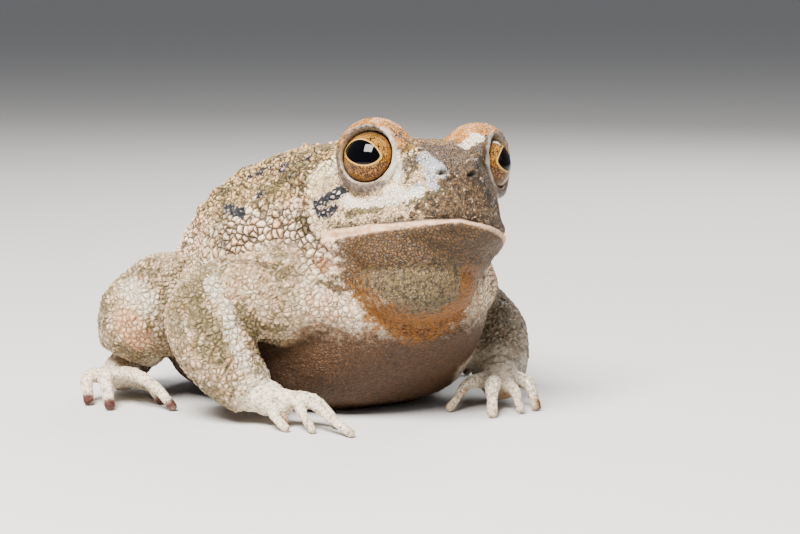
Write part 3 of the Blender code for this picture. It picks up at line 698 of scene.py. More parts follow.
def limb_forms(lines):
    """Tubes for a palm or sole and its digits, a little thicker at their joints."""
    forms = []
    for line in lines:
        forms += tube([place for place, _ in line], [radius for _, radius in line])
        forms += [ball(place, (radius * KNUCKLE,) * 3, segments=16) for place, radius in line[1:-1]]
    return forms


def skin_shape(settings):
    skin = base_skin()
    surface = Surface(skin)
    forms = []
    for side in (-1, 1):
        forms += lid_forms(side, surface)
        ridge = surface.laid([on_head(side * x, forward, up) for x, forward, up in CANTHUS], -0.25)
        forms += tube(ridge, (0.95, 0.75, 0.55))
    forms.append(ball(SAC_AT, SAC_R, segments=48))
    line = surface.laid(mouth_line(*LOWER_LIP), -0.22)
    last = len(line) - 1
    forms += tube(line, [0.27 + 0.3 * abs(2 * i / last - 1) for i in range(last + 1)], sides=16)
    line = surface.laid(mouth_line(UPPER_LIP), -0.35)
    forms += tube(line, [0.5] * len(line), sides=16)
    for lines in (HAND_RIGHT, HAND_LEFT, FOOT_RIGHT, FOOT_LEFT):
        forms += limb_forms(lines)
    skin = apply_modifier(joined("skin", [skin] + forms), "REMESH", mode="VOXEL", voxel_size=settings.voxel)
    places = places_of(skin.data)
    joint = np.zeros(len(places))
    for lines in (HAND_RIGHT, HAND_LEFT, FOOT_RIGHT, FOOT_LEFT):
        for place, radius in (lines[0][0], lines[0][2]):
            joint += blob(places, place, (radius + 2.2,) * 3, 0.5)
    joint += blob(places, SAC_AT, (SAC_R[0] + 2.5, SAC_R[1] + 3, SAC_R[2] + 2.5), 0.2)
    evened(skin.data, 24, np.clip(joint, 0.12, 1))
    return skin


# Lines drawn into the skin: depth (less than 0 raises a ridge), half width, and the places it passes
FOLDS = [
    (1.3, 1.0, [
        (-26.5, 7.6, 22.8), (-28.6, -2.2, 25.7), (-26.7, -6.5, 26.8), (-24.0, -10.7, 26.7),
        (-21.9, -14.8, 25.4), (-19.5, -17.7, 24.0)]),
    (0.4, 0.5, [(-15.9, -7.0, 34.7), (-16.8, -8.7, 31.9), (-17.4, -10.3, 29.2)]),
    (0.5, 0.7, [(-14.5, -12.0, 34.0), (-15.8, -14.5, 30.5), (-15.0, -19.0, 27.5), (-12.5, -23.0, 26.5)]),
    (0.3, 0.35, [(-26.5, -14.2, 6.6), (-24.6, -15.2, 6.9), (-22.6, -14.6, 7.2)]),
    (0.3, 0.35, [(-27.2, -12.8, 8.0), (-25.2, -14.3, 8.3), (-23.2, -13.4, 8.6)]),
    (0.35, 0.5, [(12.5, -20.5, 8.0), (16.0, -23.5, 8.6), (20.0, -23.0, 8.2)]),
    (-0.45, 0.6, [(2.7, -32.7, 42.3), (4.0, -33.6, 39.9), (4.8, -34.0, 38.0), (5.9, -34.2, 35.9)]),
    (0.35, 0.45, [(-7.0, -29.0, 39.3), (-5.9, -29.0, 41.1), (-5.1, -29.6, 41.9)]),
    (0.3, 0.3, [(-7.3, -26.6, 43.2), (-7.6, -28.2, 40.2), (-8.4, -28.2, 38.2)]),
]


def sculpt(mesh, surface):
    """Draws the line of the mouth, the nostrils and the folds in the skin."""
    places, normals = places_of(mesh), normals_of(mesh)
    offset = np.zeros(len(places))
    gap, _ = distance_to(places, surface.laid(mouth_line(0.0)))
    offset -= np.exp(-(gap / 0.26) ** 2) * 0.5
    # The crease of the closed mouth, painted dark as shade.
    store(mesh, "mouth", np.exp(-(gap / 0.28) ** 2))
    gap, _ = distance_to(places, surface.laid(mouth_line(-0.85, 0.7)))
    offset -= np.exp(-(gap / 0.3) ** 2) * 0.22
    # The folds are also darkened in the colour, as painted shade.
    dark = np.zeros(len(places))
    for side in (-1, 1):
        reach = nostril_reach(places, side, surface)
        offset -= 0.75 * (1 - eased(reach, 0.4, 1.05))
        offset += 0.22 * np.exp(-((reach - 1.4) / 0.4) ** 2)
        local = in_eye(places, side)
        spread = np.hypot(local[:, 0], local[:, 1])
        low = eased(-local[:, 1], 0.5, 3.0) * (local[:, 2] > 0)
        offset -= 0.3 * low * np.exp(-((spread - OPENING - 2.0) / 0.25) ** 2)
    for depth, width, line in FOLDS:
        gap, along = distance_to(places, surface.drawn(line))
        drawn = np.exp(-(gap / width) ** 2) * np.sin(np.pi * np.clip(along * 0.9 + 0.05, 0, 1)) ** 0.5
        offset -= depth * drawn
        if depth > 0:
            dark = np.maximum(dark, drawn ** 2 * min(1.0, depth / 0.5))
    store(mesh, "fold_shade", dark)
    set_places(mesh, places + normals * offset[:, None])


def nostril_reach(places, side, surface):
    """Distance from the middle of a nostril, 1 at its edge: it is a short level slot."""
    x, forward, up = NOSTRIL_AT
    middle = np.array(surface.laid([on_head(side * x, forward, up)])[0])
    along = np.array(HEAD_TURN @ Vector((0.8, side * 0.55, 0.25)).normalized())
    away = places - middle
    run = away @ along
    rest = away @ np.cross(along, surface.facing(middle))
    return np.sqrt((run / 1.05) ** 2 + (rest / 0.48) ** 2) + 10 * (np.linalg.norm(away, axis=1) > 2.5)


def clear_of_eyes(mesh):
    """Moves the skin out of the eyeballs."""
    places = places_of(mesh)
    for side in (-1, 1):
        middle = np.array(eye_frame(side).translation)
        away = places - middle
        reach = np.linalg.norm(away, axis=1)
        inside = reach < EYE_R + EYE_ROOM
        places[inside] = middle + away[inside] / reach[inside, None] * (EYE_R + EYE_ROOM)
    places[:, 2] = np.maximum(places[:, 2], 0.0)
    set_places(mesh, places)


def store(mesh, name, values, kind="FLOAT"):
    held = mesh.attributes.new(name, kind, "POINT")
    field = "vector" if kind == "FLOAT_VECTOR" else "value"
    held.data.foreach_set(field, np.asarray(values, np.float32).ravel())


MARK_KINDS = ("frost", "pale", "olive", "ink", "blush", "drum", "rust", "brown_and_shade", "wet")


def store_regions(mesh, surface):
    """Keeps on the mesh where each kind of skin and each marking lies, and where shade is painted."""
    places = places_of(mesh)
    x, y, z = places.T
    lateral, forward, up = in_head(places)
    droop = np.where(lateral > 0, MOUTH_DROOP[1], MOUTH_DROOP[0])
    from_mouth = up + droop * np.abs(lateral) + MOUTH_DROOP_SQUARED * lateral ** 2
    store(mesh, "rest", places, "FLOAT_VECTOR")

    head = eased(forward, -9.5, -4.5) * eased(from_mouth, -1.5, 0.5) * (1 - eased(np.abs(lateral), 17, 18))
    throat = eased(forward, -5, 1.5) * (1 - eased(from_mouth, -1.2, -0.4)) * eased(z, 17, 24)
    hand = np.maximum(
        1 - eased(distance_to(places, [(-22.4, -15.0, 3.0), (-19.5, -26.0, 1.5)])[0], 5.0, 8.0),
        1 - eased(distance_to(places, [(17.0, -21.5, 3.0), (12.0, -26.0, 1.5)])[0], 6.0, 8.5))
    foot = eased(np.abs(x), 24, 28) * (1 - eased(z, 5.5, 8.5)) * eased(y, 0, 6)
    digit = np.clip(hand + foot, 0, 1)
    sac = blob(places, SAC_AT, (SAC_R[0] + 1.2, SAC_R[1] + 2.5, SAC_R[2] + 3.5), 0.3) * (1 - eased(z, 22, 32))
    around = np.hypot((x - SAC_AT[0] + 3.5) / SAC_R[0], 0.7 * (z - SAC_AT[2] - 2.5) / SAC_R[2])
    arm_right = beside(places, ARM_RIGHT)
    arm_left = beside(places, ARM_LEFT)
    arm = 1 - eased(np.minimum(arm_right, arm_left), 1.0, 1.5)
    leg = eased(np.abs(x), 22, 26) * eased(y, 2, 8)
    limb = np.clip(arm + leg, 0, 1)
    belly = (1 - eased(z, 10.0, 23.5)) * (1 - digit) * (1 - limb ** 2)
    back = eased(z + 0.25 * np.minimum(y, 12) - 0.12 * np.abs(x), 25, 35) * (1 - head) * (1 - arm)
    big = np.zeros(len(places))
    for side in (-1, 1):
        big += blob(places, (side * 19.5, -7, 29.5), (10, 17, 12), 0.6)
    big = np.clip(big, 0, 1) * (1 - arm * 0.8) * (1 - head) * (1 - back * 0.6)
    fields = {kind: np.zeros(len(places)) for kind in MARK_KINDS}
    for kind, width, line in MARKS:
        gap, _ = distance_to(places, surface.drawn(line))
        fields[kind] = np.maximum(fields[kind], np.clip(1.5 - gap / width, 0, 1))
    fine = np.clip(head + throat + digit * 0.8 + sac + belly, 0, 1) * (1 - eased(fields["ink"], 0.1, 0.5))
    # Painted shade over the lower left arm and hand, in the shadow of the head and sac.
    shade = (1 - eased(arm_left, 1.0, 1.5)) * eased(x, 4, 9) * (1 - eased(z, 17, 22))
    for name, values in (
            ("shade", shade), ("head", head), ("throat", throat), ("digit", digit), ("sac", sac),
            ("belly", belly), ("back", back), ("limb", limb), ("big", big), ("fine", fine)):
        store(mesh, name, values)
    store(mesh, "sac_edge", eased(around, 0.45, 0.9))
    store(mesh, "chest", eased(-y, 12, 20) * eased(z, 9, 14) * (1 - head))
    store(mesh, "crown", head * eased(up - 0.1 * np.abs(lateral) - 0.25 * forward, 7.0, 9.5))
    edge = lateral + 2.2 + 0.85 * np.abs(up - 7.3)
    store(mesh, "snout", head * eased(edge, -1.2, 1.2) * eased(from_mouth, 0.0, 0.7) * eased(forward, 2, 6))

    gap, _ = distance_to(places, surface.laid(mouth_line(*LOWER_LIP)))
    thick = 0.55 + 0.75 * np.abs(lateral) / MOUTH_CORNER
    lip = (1 - eased(from_mouth, -0.16, -0.02)) * eased(from_mouth + thick, -0.25, 0.0)
    lip = lip * (1 - eased(gap, 1.2, 1.5)) * eased(forward, -4.6, -3.8)
    store(mesh, "lip", lip)
    gap, _ = distance_to(places, surface.laid(mouth_line(0.0)))
    store(mesh, "over_mouth", (1 - eased(gap, 0.5, 1.1)) * (1 - lip) * eased(from_mouth, -0.1, 0.2))

    dome, lid, rim, crescent, band, nostril = (np.zeros(len(places)) for _ in range(6))
    for side in (-1, 1):
        local = in_eye(places, side)
        reach = np.hypot(local[:, 0], local[:, 1])
        close = (local[:, 2] > -0.6) * (np.linalg.norm(local, axis=1) < 8.0)
        low = eased(-local[:, 1] - 0.25 * local[:, 0], -0.6, 0.8)
        rim += close * (1 - eased(reach, OPENING + 0.16, OPENING + 0.3))
        lid += close * (1 - eased(reach, OPENING + 1.6, OPENING + 1.9)) * low
        crescent += close * (1 - eased(reach, OPENING + 0.75, OPENING + 1.1)) * eased(local[:, 0], 2.2, 3.2)
        high = eased(local[:, 1] + 0.3 * local[:, 0], 1.2, 2.6)
        band += close * (1 - eased(reach, OPENING + 0.45, OPENING + 0.8)) * high
        plan = np.hypot(lateral - side * 8.2, forward - 0.2)
        dome += (1 - eased(plan, 5.8, 7.4)) * eased(up + 0.45 * (np.abs(lateral) - 8.2), 10.6, 12.2)
        nostril += 1 - eased(nostril_reach(places, side, surface), 0.65, 1.0)
    rim, lid, crescent, band, dome, nostril = (
        np.clip(values, 0, 1) for values in (rim, lid, crescent, band, dome, nostril))
    lid *= (1 - rim) * (1 - crescent)
    for name, values in (
            ("rim", rim), ("lid", lid), ("crescent", crescent), ("band", band), ("nostril", nostril)):
        store(mesh, name, values)
    store(mesh, "dome", dome * (1 - lid) * (1 - rim) * (1 - band * 0.8))
    store(mesh, "smooth", np.clip(lip + lid + rim + crescent + nostril, 0, 1))

    tip = np.zeros(len(places))
    for place in TOE_TIPS + [other_side(place) for place in TOE_TIPS]:
        tip += 1 - eased(np.linalg.norm(places - np.array(place), axis=1), 0.8, 1.4)
    store(mesh, "tip", np.clip(tip, 0, 1))
    pad = np.zeros(len(places))
    for place in FINGER_TIPS:
        pad += 0.5 * (1 - eased(np.linalg.norm(places - np.array(place), axis=1), 0.4, 1.8))
    for place in [(-23.6, -18.0, 1.0), (15.5, -25.5, 1.5), (10.0, -22.5, 2.0)]:
        pad += 1 - eased(np.linalg.norm(places - np.array(place), axis=1), 1.2, 2.4)
    store(mesh, "pad", np.clip(pad, 0, 1))

    for kind, values in fields.items():
        store(mesh, kind, values)


def relief(graph, settings):
    """The skin's grain: its height in millimetres, and its creases, shoulders, fine creases and warts."""
    rest = graph.read("rest", vector=True)
    place = graph.wandering(rest, 0.5, 1.0)
    back, limb, big, fine = (graph.read(name) for name in ("back", "limb", "big", "fine"))
    plain = 1.0 - graph.read("smooth")
    middle = graph.clamped(1.0 - big - fine)
    made = {}
    for name, size, jitter in (
            ("big", settings.cobble, 0.8), ("middle", settings.granule, 0.8), ("fine", settings.grain, 0.9)):
        edge = graph.cells(place, size, "DISTANCE_TO_EDGE", jitter=jitter)
        reach = graph.cells(place, size, "F1", jitter=jitter)
        flat = graph.clamped(1.0 - edge * 2.7)
        pillow = (1.0 - flat * flat) * graph.clamped(1.2 - reach * reach * 1.1)
        # Where the colour is darkened in the creases: partly the skin's own dark, partly painted shade, deepest
        # where creases meet.
        crease_pigment_and_shade = graph.clamped(1.0 - graph.between(edge, 0.02, 0.18) + graph.between(reach, 0.60, 0.85) * 0.6)
        # The third mask is each granule's side, which the colour darkens as painted shade.
        made[name] = (pillow, crease_pigment_and_shade, 1.0 - graph.between(edge, 0.10, 0.34))
    tall = graph.noise(rest, 0.7, 1.0)
    near = graph.cells(place, settings.wart, "F1")
    wart = graph.between(near, 0.36, 0.06) * graph.clamped(back * 1.1 + limb * 0.35 - fine) * plain
    height = (
        made["big"][0] * big * (0.40 + 0.35 * tall)
        + made["middle"][0] * middle * (0.2 + 0.24 * tall)
        + made["fine"][0] * fine * (0.13 - 0.09 * graph.read("digit"))
        + wart * 0.6) * plain
    crease_pigment_and_shade = (made["big"][1] * big + made["middle"][1] * middle) * plain
    shoulder = (made["big"][2] * big + made["middle"][2] * middle) * plain
    return height, crease_pigment_and_shade, shoulder, made["fine"][1] * fine * plain, wart


def raise_relief(skin, settings):
    """Raises the cobbles and warts in the mesh itself."""
    tree = bpy.data.node_groups.new("relief", "GeometryNodeTree")
    tree.interface.new_socket("Geometry", in_out="INPUT", socket_type="NodeSocketGeometry")
    tree.interface.new_socket("Geometry", in_out="OUTPUT", socket_type="NodeSocketGeometry")
    graph = Graph(tree)
    came = graph.node("NodeGroupInput")
    height = relief(graph, settings)[0]
    normal = graph.out(graph.node("GeometryNodeInputNormal"))
    offset = graph.vector_maths("SCALE", normal, scale=height)
    moved = graph.node("GeometryNodeSetPosition", {}, {"Offset": offset})
    tree.links.new(came.outputs[0], moved.inputs["Geometry"])
    left = graph.node("NodeGroupOutput")
    tree.links.new(moved.outputs[0], left.inputs[0])
    apply_modifier(skin, "NODES", node_group=tree)
    bpy.data.node_groups.remove(tree)


def thinned(skin, faces):
    """Collapses the flattest faces until the skin has no more than that many triangles."""
    count = sum(len(face.vertices) - 2 for face in skin.data.polygons)
    if count > faces:
        apply_modifier(skin, "DECIMATE", ratio=faces / count)


# Second tones of the skin, which vary the colours of its settings
TONES = {
    # Painted shade on the sides of the granules.
    "shoulder": (0.34, 0.20, 0.09),
    "digit_fleck": (0.50, 0.36, 0.22),
    "digit_shade": (0.22, 0.15, 0.085),
    "back_shade": (0.24, 0.15, 0.05),
    "face_sand": (0.38, 0.24, 0.11),
    "face_shade": (0.11, 0.07, 0.028),
    "belly_shade": (0.045, 0.018, 0.005),
    "throat": (0.15, 0.070, 0.020),
    "limb": (0.21, 0.145, 0.065),
    "mottle": (0.17, 0.13, 0.05),
    "crown": (0.35, 0.175, 0.034),
    "crown_shade": (0.035, 0.021, 0.005),
    "dome_shade": (0.17, 0.075, 0.016),
    "snout": (0.115, 0.056, 0.018),
    "snout_shade": (0.009, 0.005, 0.002),
    "olive": (0.17, 0.13, 0.045),
    "olive_shade": (0.03, 0.026, 0.008),
    "rust": (0.26, 0.085, 0.02),
    "brown_and_shade": (0.075, 0.045, 0.022),
    "frost_shade": (0.19, 0.18, 0.17),
    "eardrum": (0.85, 0.66, 0.38),
    "under": (0.20, 0.155, 0.11),
    "under_shade": (0.07, 0.055, 0.035),
    "sac": (0.155, 0.104, 0.044),
    "sac_shade": (0.030, 0.018, 0.006),
    "ochre_shade": (0.045, 0.015, 0.002),
    "net": (0.08, 0.068, 0.068),
    "net_pale": (0.50, 0.45, 0.44),
    "band": (0.36, 0.30, 0.27),
    "band_shade": (0.05, 0.035, 0.028),
    "lid": (0.155, 0.105, 0.072),
    "lid_shade": (0.034, 0.020, 0.013),
    # Painted shade over the left arm and hand.
    "crescent": (0.34, 0.32, 0.28),
    "rim": (0.36, 0.26, 0.16),
    # Painted shade in the crease of the mouth.
    "mouth": (0.02, 0.011, 0.006),
}


def skin_material(settings):
    material = bpy.data.materials.new("toad_skin")
    material.use_nodes = True
    graph = Graph(material.node_tree)
    shader = material.node_tree.nodes["Principled BSDF"]
    height, crease_pigment_and_shade, shoulder, fine_crease_pigment_and_shade, wart = relief(graph, settings)
    read, mix, between = graph.read, graph.colour_mix, graph.between
    rest = read("rest", vector=True)
    back, belly, head, limb, throat, big, digit, chest = (
        read(name) for name in ("back", "belly", "head", "limb", "throat", "big", "digit", "chest"))
    broad = between(graph.noise(rest, 0.14, 3.0, 0.55), 0.32, 0.68)
    ragged = between(graph.noise(rest, 0.9, 4.0, 0.65), 0.3, 0.7)
    speck = between(graph.noise(rest, 2.8, 3.0, 0.65), 0.3, 0.7)
    mottled = between(graph.noise(rest, 1.6, 4.0, 0.7), 0.36, 0.64)
    cell = graph.cells(graph.wandering(rest, 0.5, 1.0), settings.cobble, "F1", "Color", 0.8)
    parts = graph.node("ShaderNodeSeparateColor", {}, {0: cell})
    chance, other = graph.out(parts, 0), graph.out(parts, 1)

    def patch(mask, spread=0.9):
        """A marking with a ragged, crisp edge."""
        frayed = mask + (ragged - 0.5) * spread + (mottled - 0.5) * 0.5
        return between(frayed, 0.40, 0.66) * between(mask, 0.03, 0.2)

    tone = mix(chance * 0.6, settings.cream, settings.pale)
    tone = mix(between(other, 0.55, 0.9) * 0.6, tone, settings.blush)
    # Painted shade: each granule's sides darkened towards its creases.
    tone = mix(shoulder * 0.4, tone, TONES["shoulder"])
    ivory = mix(speck * 0.5, settings.pale, TONES["digit_fleck"])
    tone = mix(digit * 0.85, tone, mix(between(mottled, 0.6, 0.95) * 0.8, ivory, TONES["digit_shade"]))
    tone = mix(patch(back * 0.9, 0.9) * 0.9, tone, mix(ragged, settings.tan, TONES["back_shade"]))
    tone = mix(wart * 0.85, tone, settings.blush)
    face = mix(speck, settings.cream, TONES["face_sand"])
    face = mix(between(mottled, 0.55, 0.85) * 0.85, face, TONES["face_shade"])
    tone = mix(head, tone, face)
    # The belly: partly its own brown, partly painted shade under the body.
    bare = between(belly + (ragged - 0.5) * 0.3, 0.12, 0.85)
    tone = mix(bare, tone, mix(mottled, settings.belly, TONES["belly_shade"]))
    # The throat: partly its own brown, partly darkened as painted shade under the head.
    under = mix(mottled, TONES["throat"], settings.brown_and_shade)
    tone = mix(between(throat + (ragged - 0.5) * 0.5, 0.2, 0.7), tone, under)

    tone = mix(limb * (0.3 + 0.55 * ragged) * (1.0 - digit), tone, TONES["limb"])
    mottle = between(broad * 0.6 + ragged * 0.4, 0.50, 0.62)
    places = graph.clamped(back + limb * 0.9 + big * 0.4) * (1.0 - digit) * (1.0 - bare)
    tone = mix(mottle * places * 0.75, tone, mix(speck, TONES["mottle"], settings.olive))
    fleck = between(speck + ragged * 0.5, 1.05, 1.25)
    tone = mix(fleck * 0.7 * (1.0 - belly), tone, settings.olive)

    tone = mix(patch(read("crown"), 0.6), tone, mix(mottled, TONES["crown"], TONES["crown_shade"]))
    dome = mix(between(mottled, 0.5, 1.0) * 0.8, settings.rust, TONES["dome_shade"])
    tone = mix(patch(read("dome"), 0.6), tone, mix(between(chance, 0.6, 0.9) * 0.6, dome, settings.blush))
    # The snout: partly its own brown, partly darkened as painted shade.
    snout = mix(mottled, TONES["snout"], TONES["snout_shade"])
    tone = mix(patch(read("snout"), 0.8) * 0.95, tone, snout)
    olive = mix(mottled, TONES["olive"], TONES["olive_shade"])
    tone = mix(patch(read("olive"), 1.0 + limb * 0.9) * (0.9 - 0.35 * limb), tone, olive)
    tone = mix(patch(read("blush"), 0.9) * 0.6, tone, settings.blush)
    tone = mix(patch(read("rust"), 1.2) * 0.8, tone, TONES["rust"])
    # Brown marks: partly the skin's own colour, partly painted shade on the left side of the snout.
    tone = mix(patch(read("brown_and_shade"), 0.9) * 0.85, tone, mix(mottled, TONES["brown_and_shade"], settings.ink))
    frost = mix(between(mottled, 0.55, 1.0), settings.frost, TONES["frost_shade"])
    tone = mix(patch(read("frost"), 0.8), tone, frost)
    tone = mix(patch(read("pale"), 0.9 + limb * 0.9) * (0.8 - 0.3 * limb), tone, settings.pale)
    tone = mix(patch(read("drum"), 0.5) * 0.9, tone, TONES["eardrum"])

    # Creases and fine creases painted dark: partly the skin's own colour, partly painted shade.
    tone = mix(crease_pigment_and_shade * (0.95 - 0.4 * bare) * (1.0 - 0.7 * limb), tone, settings.crease_pigment_and_shade)
    tone = mix(fine_crease_pigment_and_shade * (0.5 + 0.35 * throat - 0.25 * digit), tone, settings.crease_pigment_and_shade)
    # Painted shade along the folds drawn into the skin.
    tone = mix(read("fold_shade") * 0.85, tone, settings.crease_pigment_and_shade)
    tone = mix(read("shade") * 0.75, tone, mix(ragged, TONES["under"], TONES["under_shade"]))

    # The vocal sac: partly its own grey and ochre, partly darkened as painted shade under the head.
    sac, edge = read("sac"), read("sac_edge")
    grey = mix(mottled, TONES["sac"], TONES["sac_shade"])
    ochre = mix(between(mottled, 0.4, 1.0) * 0.8, settings.ochre, TONES["ochre_shade"])
    across = between(edge + (ragged - 0.5) * 0.6, 0.3, 0.85)
    tone = mix(between(sac + (ragged - 0.5) * 0.4, 0.1, 0.8), tone, mix(across, grey, ochre))

    dots = graph.cells(rest, 1.1, "F1")
    dotted = between(dots, 0.16, 0.09) * between(graph.noise(rest, 0.5, 2.0), 0.46, 0.54)
    tone = mix(dotted * (1.0 - belly * 0.5) * 0.9, tone, settings.ink)
    inked = patch(read("ink"), 0.9)
    tone = mix(inked * 0.75, tone, mix(speck, TONES["net"], TONES["net_pale"]))
    tone = mix(inked * graph.clamped(shoulder * 1.6), tone, settings.ink)
    over = read("over_mouth") * between(graph.noise(rest, 1.2, 2.0), 0.53, 0.58)
    tone = mix(over * 0.9, tone, settings.brown_and_shade)

    tone = mix(read("band") * 0.75, tone, mix(mottled, TONES["band"], TONES["band_shade"]))
    tone = mix(read("lid"), tone, mix(mottled, TONES["lid"], TONES["lid_shade"]))
    tone = mix(read("crescent") * 0.9, tone, TONES["crescent"])
    tone = mix(read("rim") * 0.8, tone, TONES["rim"])
    tone = mix(read("lip"), tone, mix(ragged * 0.45, settings.lip, settings.pale))
    # Painted shade in the crease of the mouth.
    tone = mix(read("mouth") * 0.95, tone, TONES["mouth"])
    # Painted shade in the hollow of each nostril.
    tone = mix(read("nostril"), tone, settings.ink)
    tone = mix(read("pad") * 0.6, tone, settings.ochre)
    tone = mix(read("tip"), tone, settings.claw)
    graph.feed(shader.inputs["Base Color"], tone)

    wet = graph.clamped(read("wet") + read("band") * 0.7 + read("lid") * 0.3)
    shine = graph.clamped(big + chest * 0.5 + sac * 0.4) * (1.0 - shoulder)
    graph.feed(shader.inputs["Roughness"], graph.clamped(0.50 + 0.2 * speck - 0.28 * wet - 0.26 * shine))
    graph.feed(shader.inputs["Coat Weight"], graph.clamped(wet * 0.7))
    shader.inputs["Coat Roughness"].default_value = 0.12
    shader.inputs["Specular IOR Level"].default_value = 0.35

    pores = graph.noise(rest, 4.0, 4.0, 0.65)
    ripple = graph.noise(graph.squeezed(rest, (0.1, 0.2, 1.0), 5.0), 0.35, 3.0)
    ringed = graph.noise(graph.squeezed(rest, (0.23, -0.55, -0.8), 4.0), 0.5, 3.0)
    bump = graph.node("ShaderNodeBump", {}, {
        "Strength": 1.0,
        "Distance": 0.001,
        "Height": height + pores * 0.14 + ripple * belly * 0.3 + ringed * graph.larger(limb, digit) * 0.4})
    graph.feed(shader.inputs["Normal"], graph.out(bump))
    return material


def finished(obj, name, material):
    """Brings a piece from the toad's own millimetres to the frame and gives it its finish."""
    obj.name = name
    obj.data.name = name
    obj.data.transform(Matrix.Scale(MM, 4) @ Matrix.Translation(SHIFT))
    obj.data.shade_smooth()
    obj.data.materials.clear()
    obj.data.materials.append(material)
    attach(obj, "root")


class TOAD_OT_skin(bpy.types.Operator):
    """Makes one skin in place of the nodes of flesh"""

    bl_idname = "toad.skin"
    bl_label = "Skin"

    def execute(self, context):
        settings = context.scene.toad_skin
        skin = skin_shape(settings)
        surface = Surface(skin)
        sculpt(skin.data, surface)
        store_regions(skin.data, surface)
        raise_relief(skin, settings)
        thinned(skin, settings.faces)
        clear_of_eyes(skin.data)
        finished(skin, "skin", skin_material(settings))
        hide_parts(*FLESH)
        return {"FINISHED"}


# Darker tones of the eye; the upper one is painted shadow of the upper lid
EYE_TONES = {
    "lower": (0.26, 0.085, 0.014),
    "outer": (0.10, 0.034, 0.006),
    "upper": (0.05, 0.028, 0.010),
    "edge": (0.004, 0.003, 0.002),
    "pupil": (0.0005, 0.0005, 0.001),
}


def eye_material(settings):
    material = bpy.data.materials.new("toad_eye")
    material.use_nodes = True
    graph = Graph(material.node_tree)
    shader = material.node_tree.nodes["Principled BSDF"]
    mix, between = graph.colour_mix, graph.between
    local = graph.read("eye_place", vector=True)
    parts = graph.node("ShaderNodeSeparateXYZ", {}, {0: local})
    x, y = graph.out(parts, 0), graph.out(parts, 1)
    reach = graph.maths("SQRT", x * x + y * y)
    across = graph.maths("ABSOLUTE", x + settings.pupil_shift) / (settings.pupil_width / 2)
    up = graph.maths("ABSOLUTE", y - 0.1 + x * 0.22) / (settings.pupil_height / 2)
    lens = across * across + up ** 1.5
    pupil = between(lens, 1.04, 0.97)
    rim = between(lens, 1.24, 1.10)
    net = graph.cells(graph.wandering(local, 1.6, 3.0), 0.34, "DISTANCE_TO_EDGE")
    coarse = between(graph.noise(local, 0.9, 3.0, 0.6), 0.35, 0.65)
    fleck = between(graph.noise(local, 5.0, 4.0, 0.75), 0.35, 0.65)
    low = between(y, 0.5, -2.5)
    veins = (1.0 - between(net, 0.05, 0.27)) * graph.clamped(0.6 + 0.4 * low + 0.5 * coarse)
    bright, gold, vein = settings.bright, settings.gold, settings.vein
    tone = mix(fleck * 0.6, gold, bright)
    tone = mix(low * 0.4, tone, EYE_TONES["lower"])
    tone = mix(veins, tone, vein)
    tone = mix(between(coarse, 0.72, 0.95) * 0.6 * low, tone, vein)
    tone = mix(between(reach, 3.3, 4.0) * 0.55, tone, EYE_TONES["outer"])
    # Painted shadow of the upper lid across the top of the iris.
    tone = mix(between(y, 2.6, 3.6) * 0.7, tone, EYE_TONES["upper"])
    tone = mix(rim * 0.75, tone, bright)
    tone = mix(between(reach, 3.96, 4.08), tone, EYE_TONES["edge"])
    tone = mix(pupil, tone, EYE_TONES["pupil"])
    graph.feed(shader.inputs["Base Color"], tone)
    shader.inputs["Roughness"].default_value = 0.5
    shader.inputs["Specular IOR Level"].default_value = 0.0
    shader.inputs["Coat Weight"].default_value = 1.0
    shader.inputs["Coat Roughness"].default_value = 0.01
    shader.inputs["Coat IOR"].default_value = 1.3
    return material


class TOAD_OT_eyes(bpy.types.Operator):
    """Makes both eyes"""

    bl_idname = "toad.eyes"
    bl_label = "Eyes"

    def execute(self, context):
        material = eye_material(context.scene.toad_eyes)
        for side, word in ((-1, "right"), (1, "left")):
            eye = ball((0, 0, 0), (EYE_R,) * 3, segments=96)
            store(eye.data, "eye_place", places_of(eye.data) * np.array((-side, 1, 1)), "FLOAT_VECTOR")
            eye.data.transform(eye_frame(side))
            finished(eye, f"eyeball_{word}", material)
            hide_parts(f"eye_{word}")
        return {"FINISHED"}


def towards(azimuth, height):
    """The direction at these angles from the toad's front and from the floor."""
    azimuth, height = math.radians(azimuth), math.radians(height)
    return Vector((
        math.sin(azimuth) * math.cos(height), -math.cos(azimuth) * math.cos(height), math.sin(height)))


def add_camera():
    backward = towards(VIEW_AZIMUTH, VIEW_HEIGHT)
    deselect()
    bpy.ops.object.camera_add()
    camera = bpy.context.object
    camera.name = "camera"
    camera.data.lens = LENS
    camera.data.sensor_width = SENSOR
    camera.data.clip_start = 0.01
    camera.data.clip_end = 500.0
    turn = (-backward).to_track_quat("-Z", "Y")
    per_pixel = VIEW_DISTANCE * SENSOR / LENS / IMAGE[0]
    across = (AIM_PIXEL[0] - IMAGE[0] / 2) * per_pixel
    rise = (IMAGE[1] / 2 - AIM_PIXEL[1]) * per_pixel
    place = AIM_AT + backward * VIEW_DISTANCE - turn @ Vector((across, rise, 0))
    camera.location = (place + SHIFT) * MM
    camera.rotation_mode = "QUATERNION"
    camera.rotation_quaternion = turn
    bpy.context.scene.camera = camera


def add_light(name, azimuth, height, distance, size, power, colour=(1, 1, 1)):
    away = towards(azimuth, height)
    deselect()
    bpy.ops.object.light_add(type="AREA")
    lamp = bpy.context.object
    lamp.name = name
    lamp.data.shape = "RECTANGLE"
    lamp.data.size, lamp.data.size_y = size
    lamp.data.energy = power
    lamp.data.color = colour
    lamp.location = LIGHTS_AIM + away * distance
    lamp.rotation_mode = "QUATERNION"
    lamp.rotation_quaternion = (-away).to_track_quat("-Z", "Y")


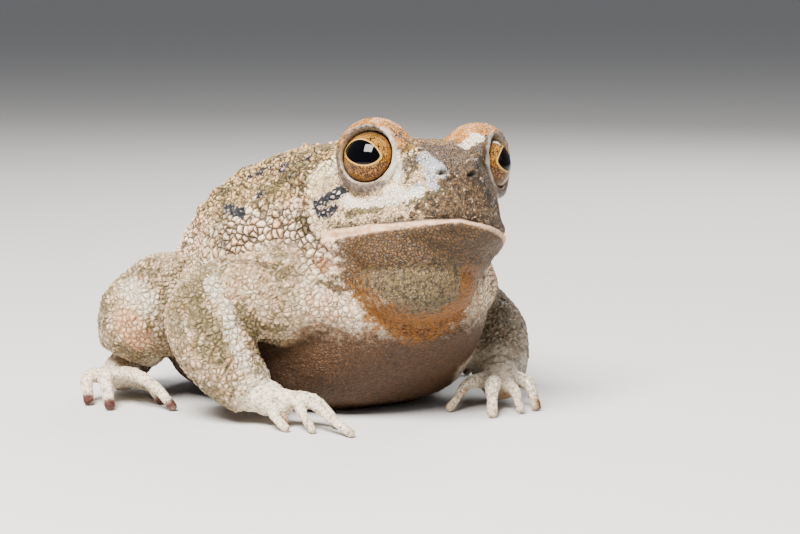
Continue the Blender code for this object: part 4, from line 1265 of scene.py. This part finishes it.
class TOAD_OT_stage(bpy.types.Operator):
    """Makes the camera, the floor and the light"""

    bl_idname = "toad.stage"
    bl_label = "Stage"

    def execute(self, context):
        settings = context.scene.toad_stage
        add_camera()
        deselect()
        bpy.ops.mesh.primitive_plane_add(size=200.0)
        floor = bpy.context.object
        floor.name = "floor"
        material = bpy.data.materials.new("floor")
        material.use_nodes = True
        shader = material.node_tree.nodes["Principled BSDF"]
        shader.inputs["Base Color"].default_value = rgba(settings.floor)
        shader.inputs["Roughness"].default_value = 0.9
        floor.data.materials.append(material)
        add_light("key", -58, 52, 0.6, (0.30, 0.30), settings.key, (1.0, 0.97, 0.93))
        add_light("fill", 35, 35, 0.9, (0.6, 0.6), settings.fill)
        add_light("rim", 120, 40, 0.6, (0.25, 0.25), settings.rim)
        world = bpy.data.worlds.new("studio")
        world.use_nodes = True
        world.node_tree.nodes["Background"].inputs["Color"].default_value = (0.90, 0.93, 1.0, 1.0)
        world.node_tree.nodes["Background"].inputs["Strength"].default_value = 0.24
        bpy.context.scene.world = world
        return {"FINISHED"}


class TOAD_PT_panel(bpy.types.Panel):
    """Lists the settings and what makes each piece"""

    bl_idname = "TOAD_PT_panel"
    bl_label = "Texas toad"
    bl_space_type = "VIEW_3D"
    bl_region_type = "UI"
    bl_category = "Toad"

    def draw(self, context):
        scene = context.scene
        for operator, settings in (
                (TOAD_OT_skin, scene.toad_skin), (TOAD_OT_eyes, scene.toad_eyes),
                (TOAD_OT_stage, scene.toad_stage)):
            box = self.layout.box()
            for name in settings.__annotations__:
                box.prop(settings, name)
            box.operator(operator.bl_idname)


CLASSES = (
    ToadSkinSettings, ToadEyeSettings, ToadStageSettings,
    TOAD_OT_skin, TOAD_OT_eyes, TOAD_OT_stage, TOAD_PT_panel)


def register():
    for cls in CLASSES:
        bpy.utils.register_class(cls)
    bpy.types.Scene.toad_skin = PointerProperty(type=ToadSkinSettings)
    bpy.types.Scene.toad_eyes = PointerProperty(type=ToadEyeSettings)
    bpy.types.Scene.toad_stage = PointerProperty(type=ToadStageSettings)


def unregister():
    del bpy.types.Scene.toad_stage
    del bpy.types.Scene.toad_eyes
    del bpy.types.Scene.toad_skin
    for cls in reversed(CLASSES):
        bpy.utils.unregister_class(cls)


def main():
    register()
    bpy.ops.toad.skin()
    bpy.ops.toad.eyes()
    bpy.ops.toad.stage()


if __name__ == "__main__":
    main()
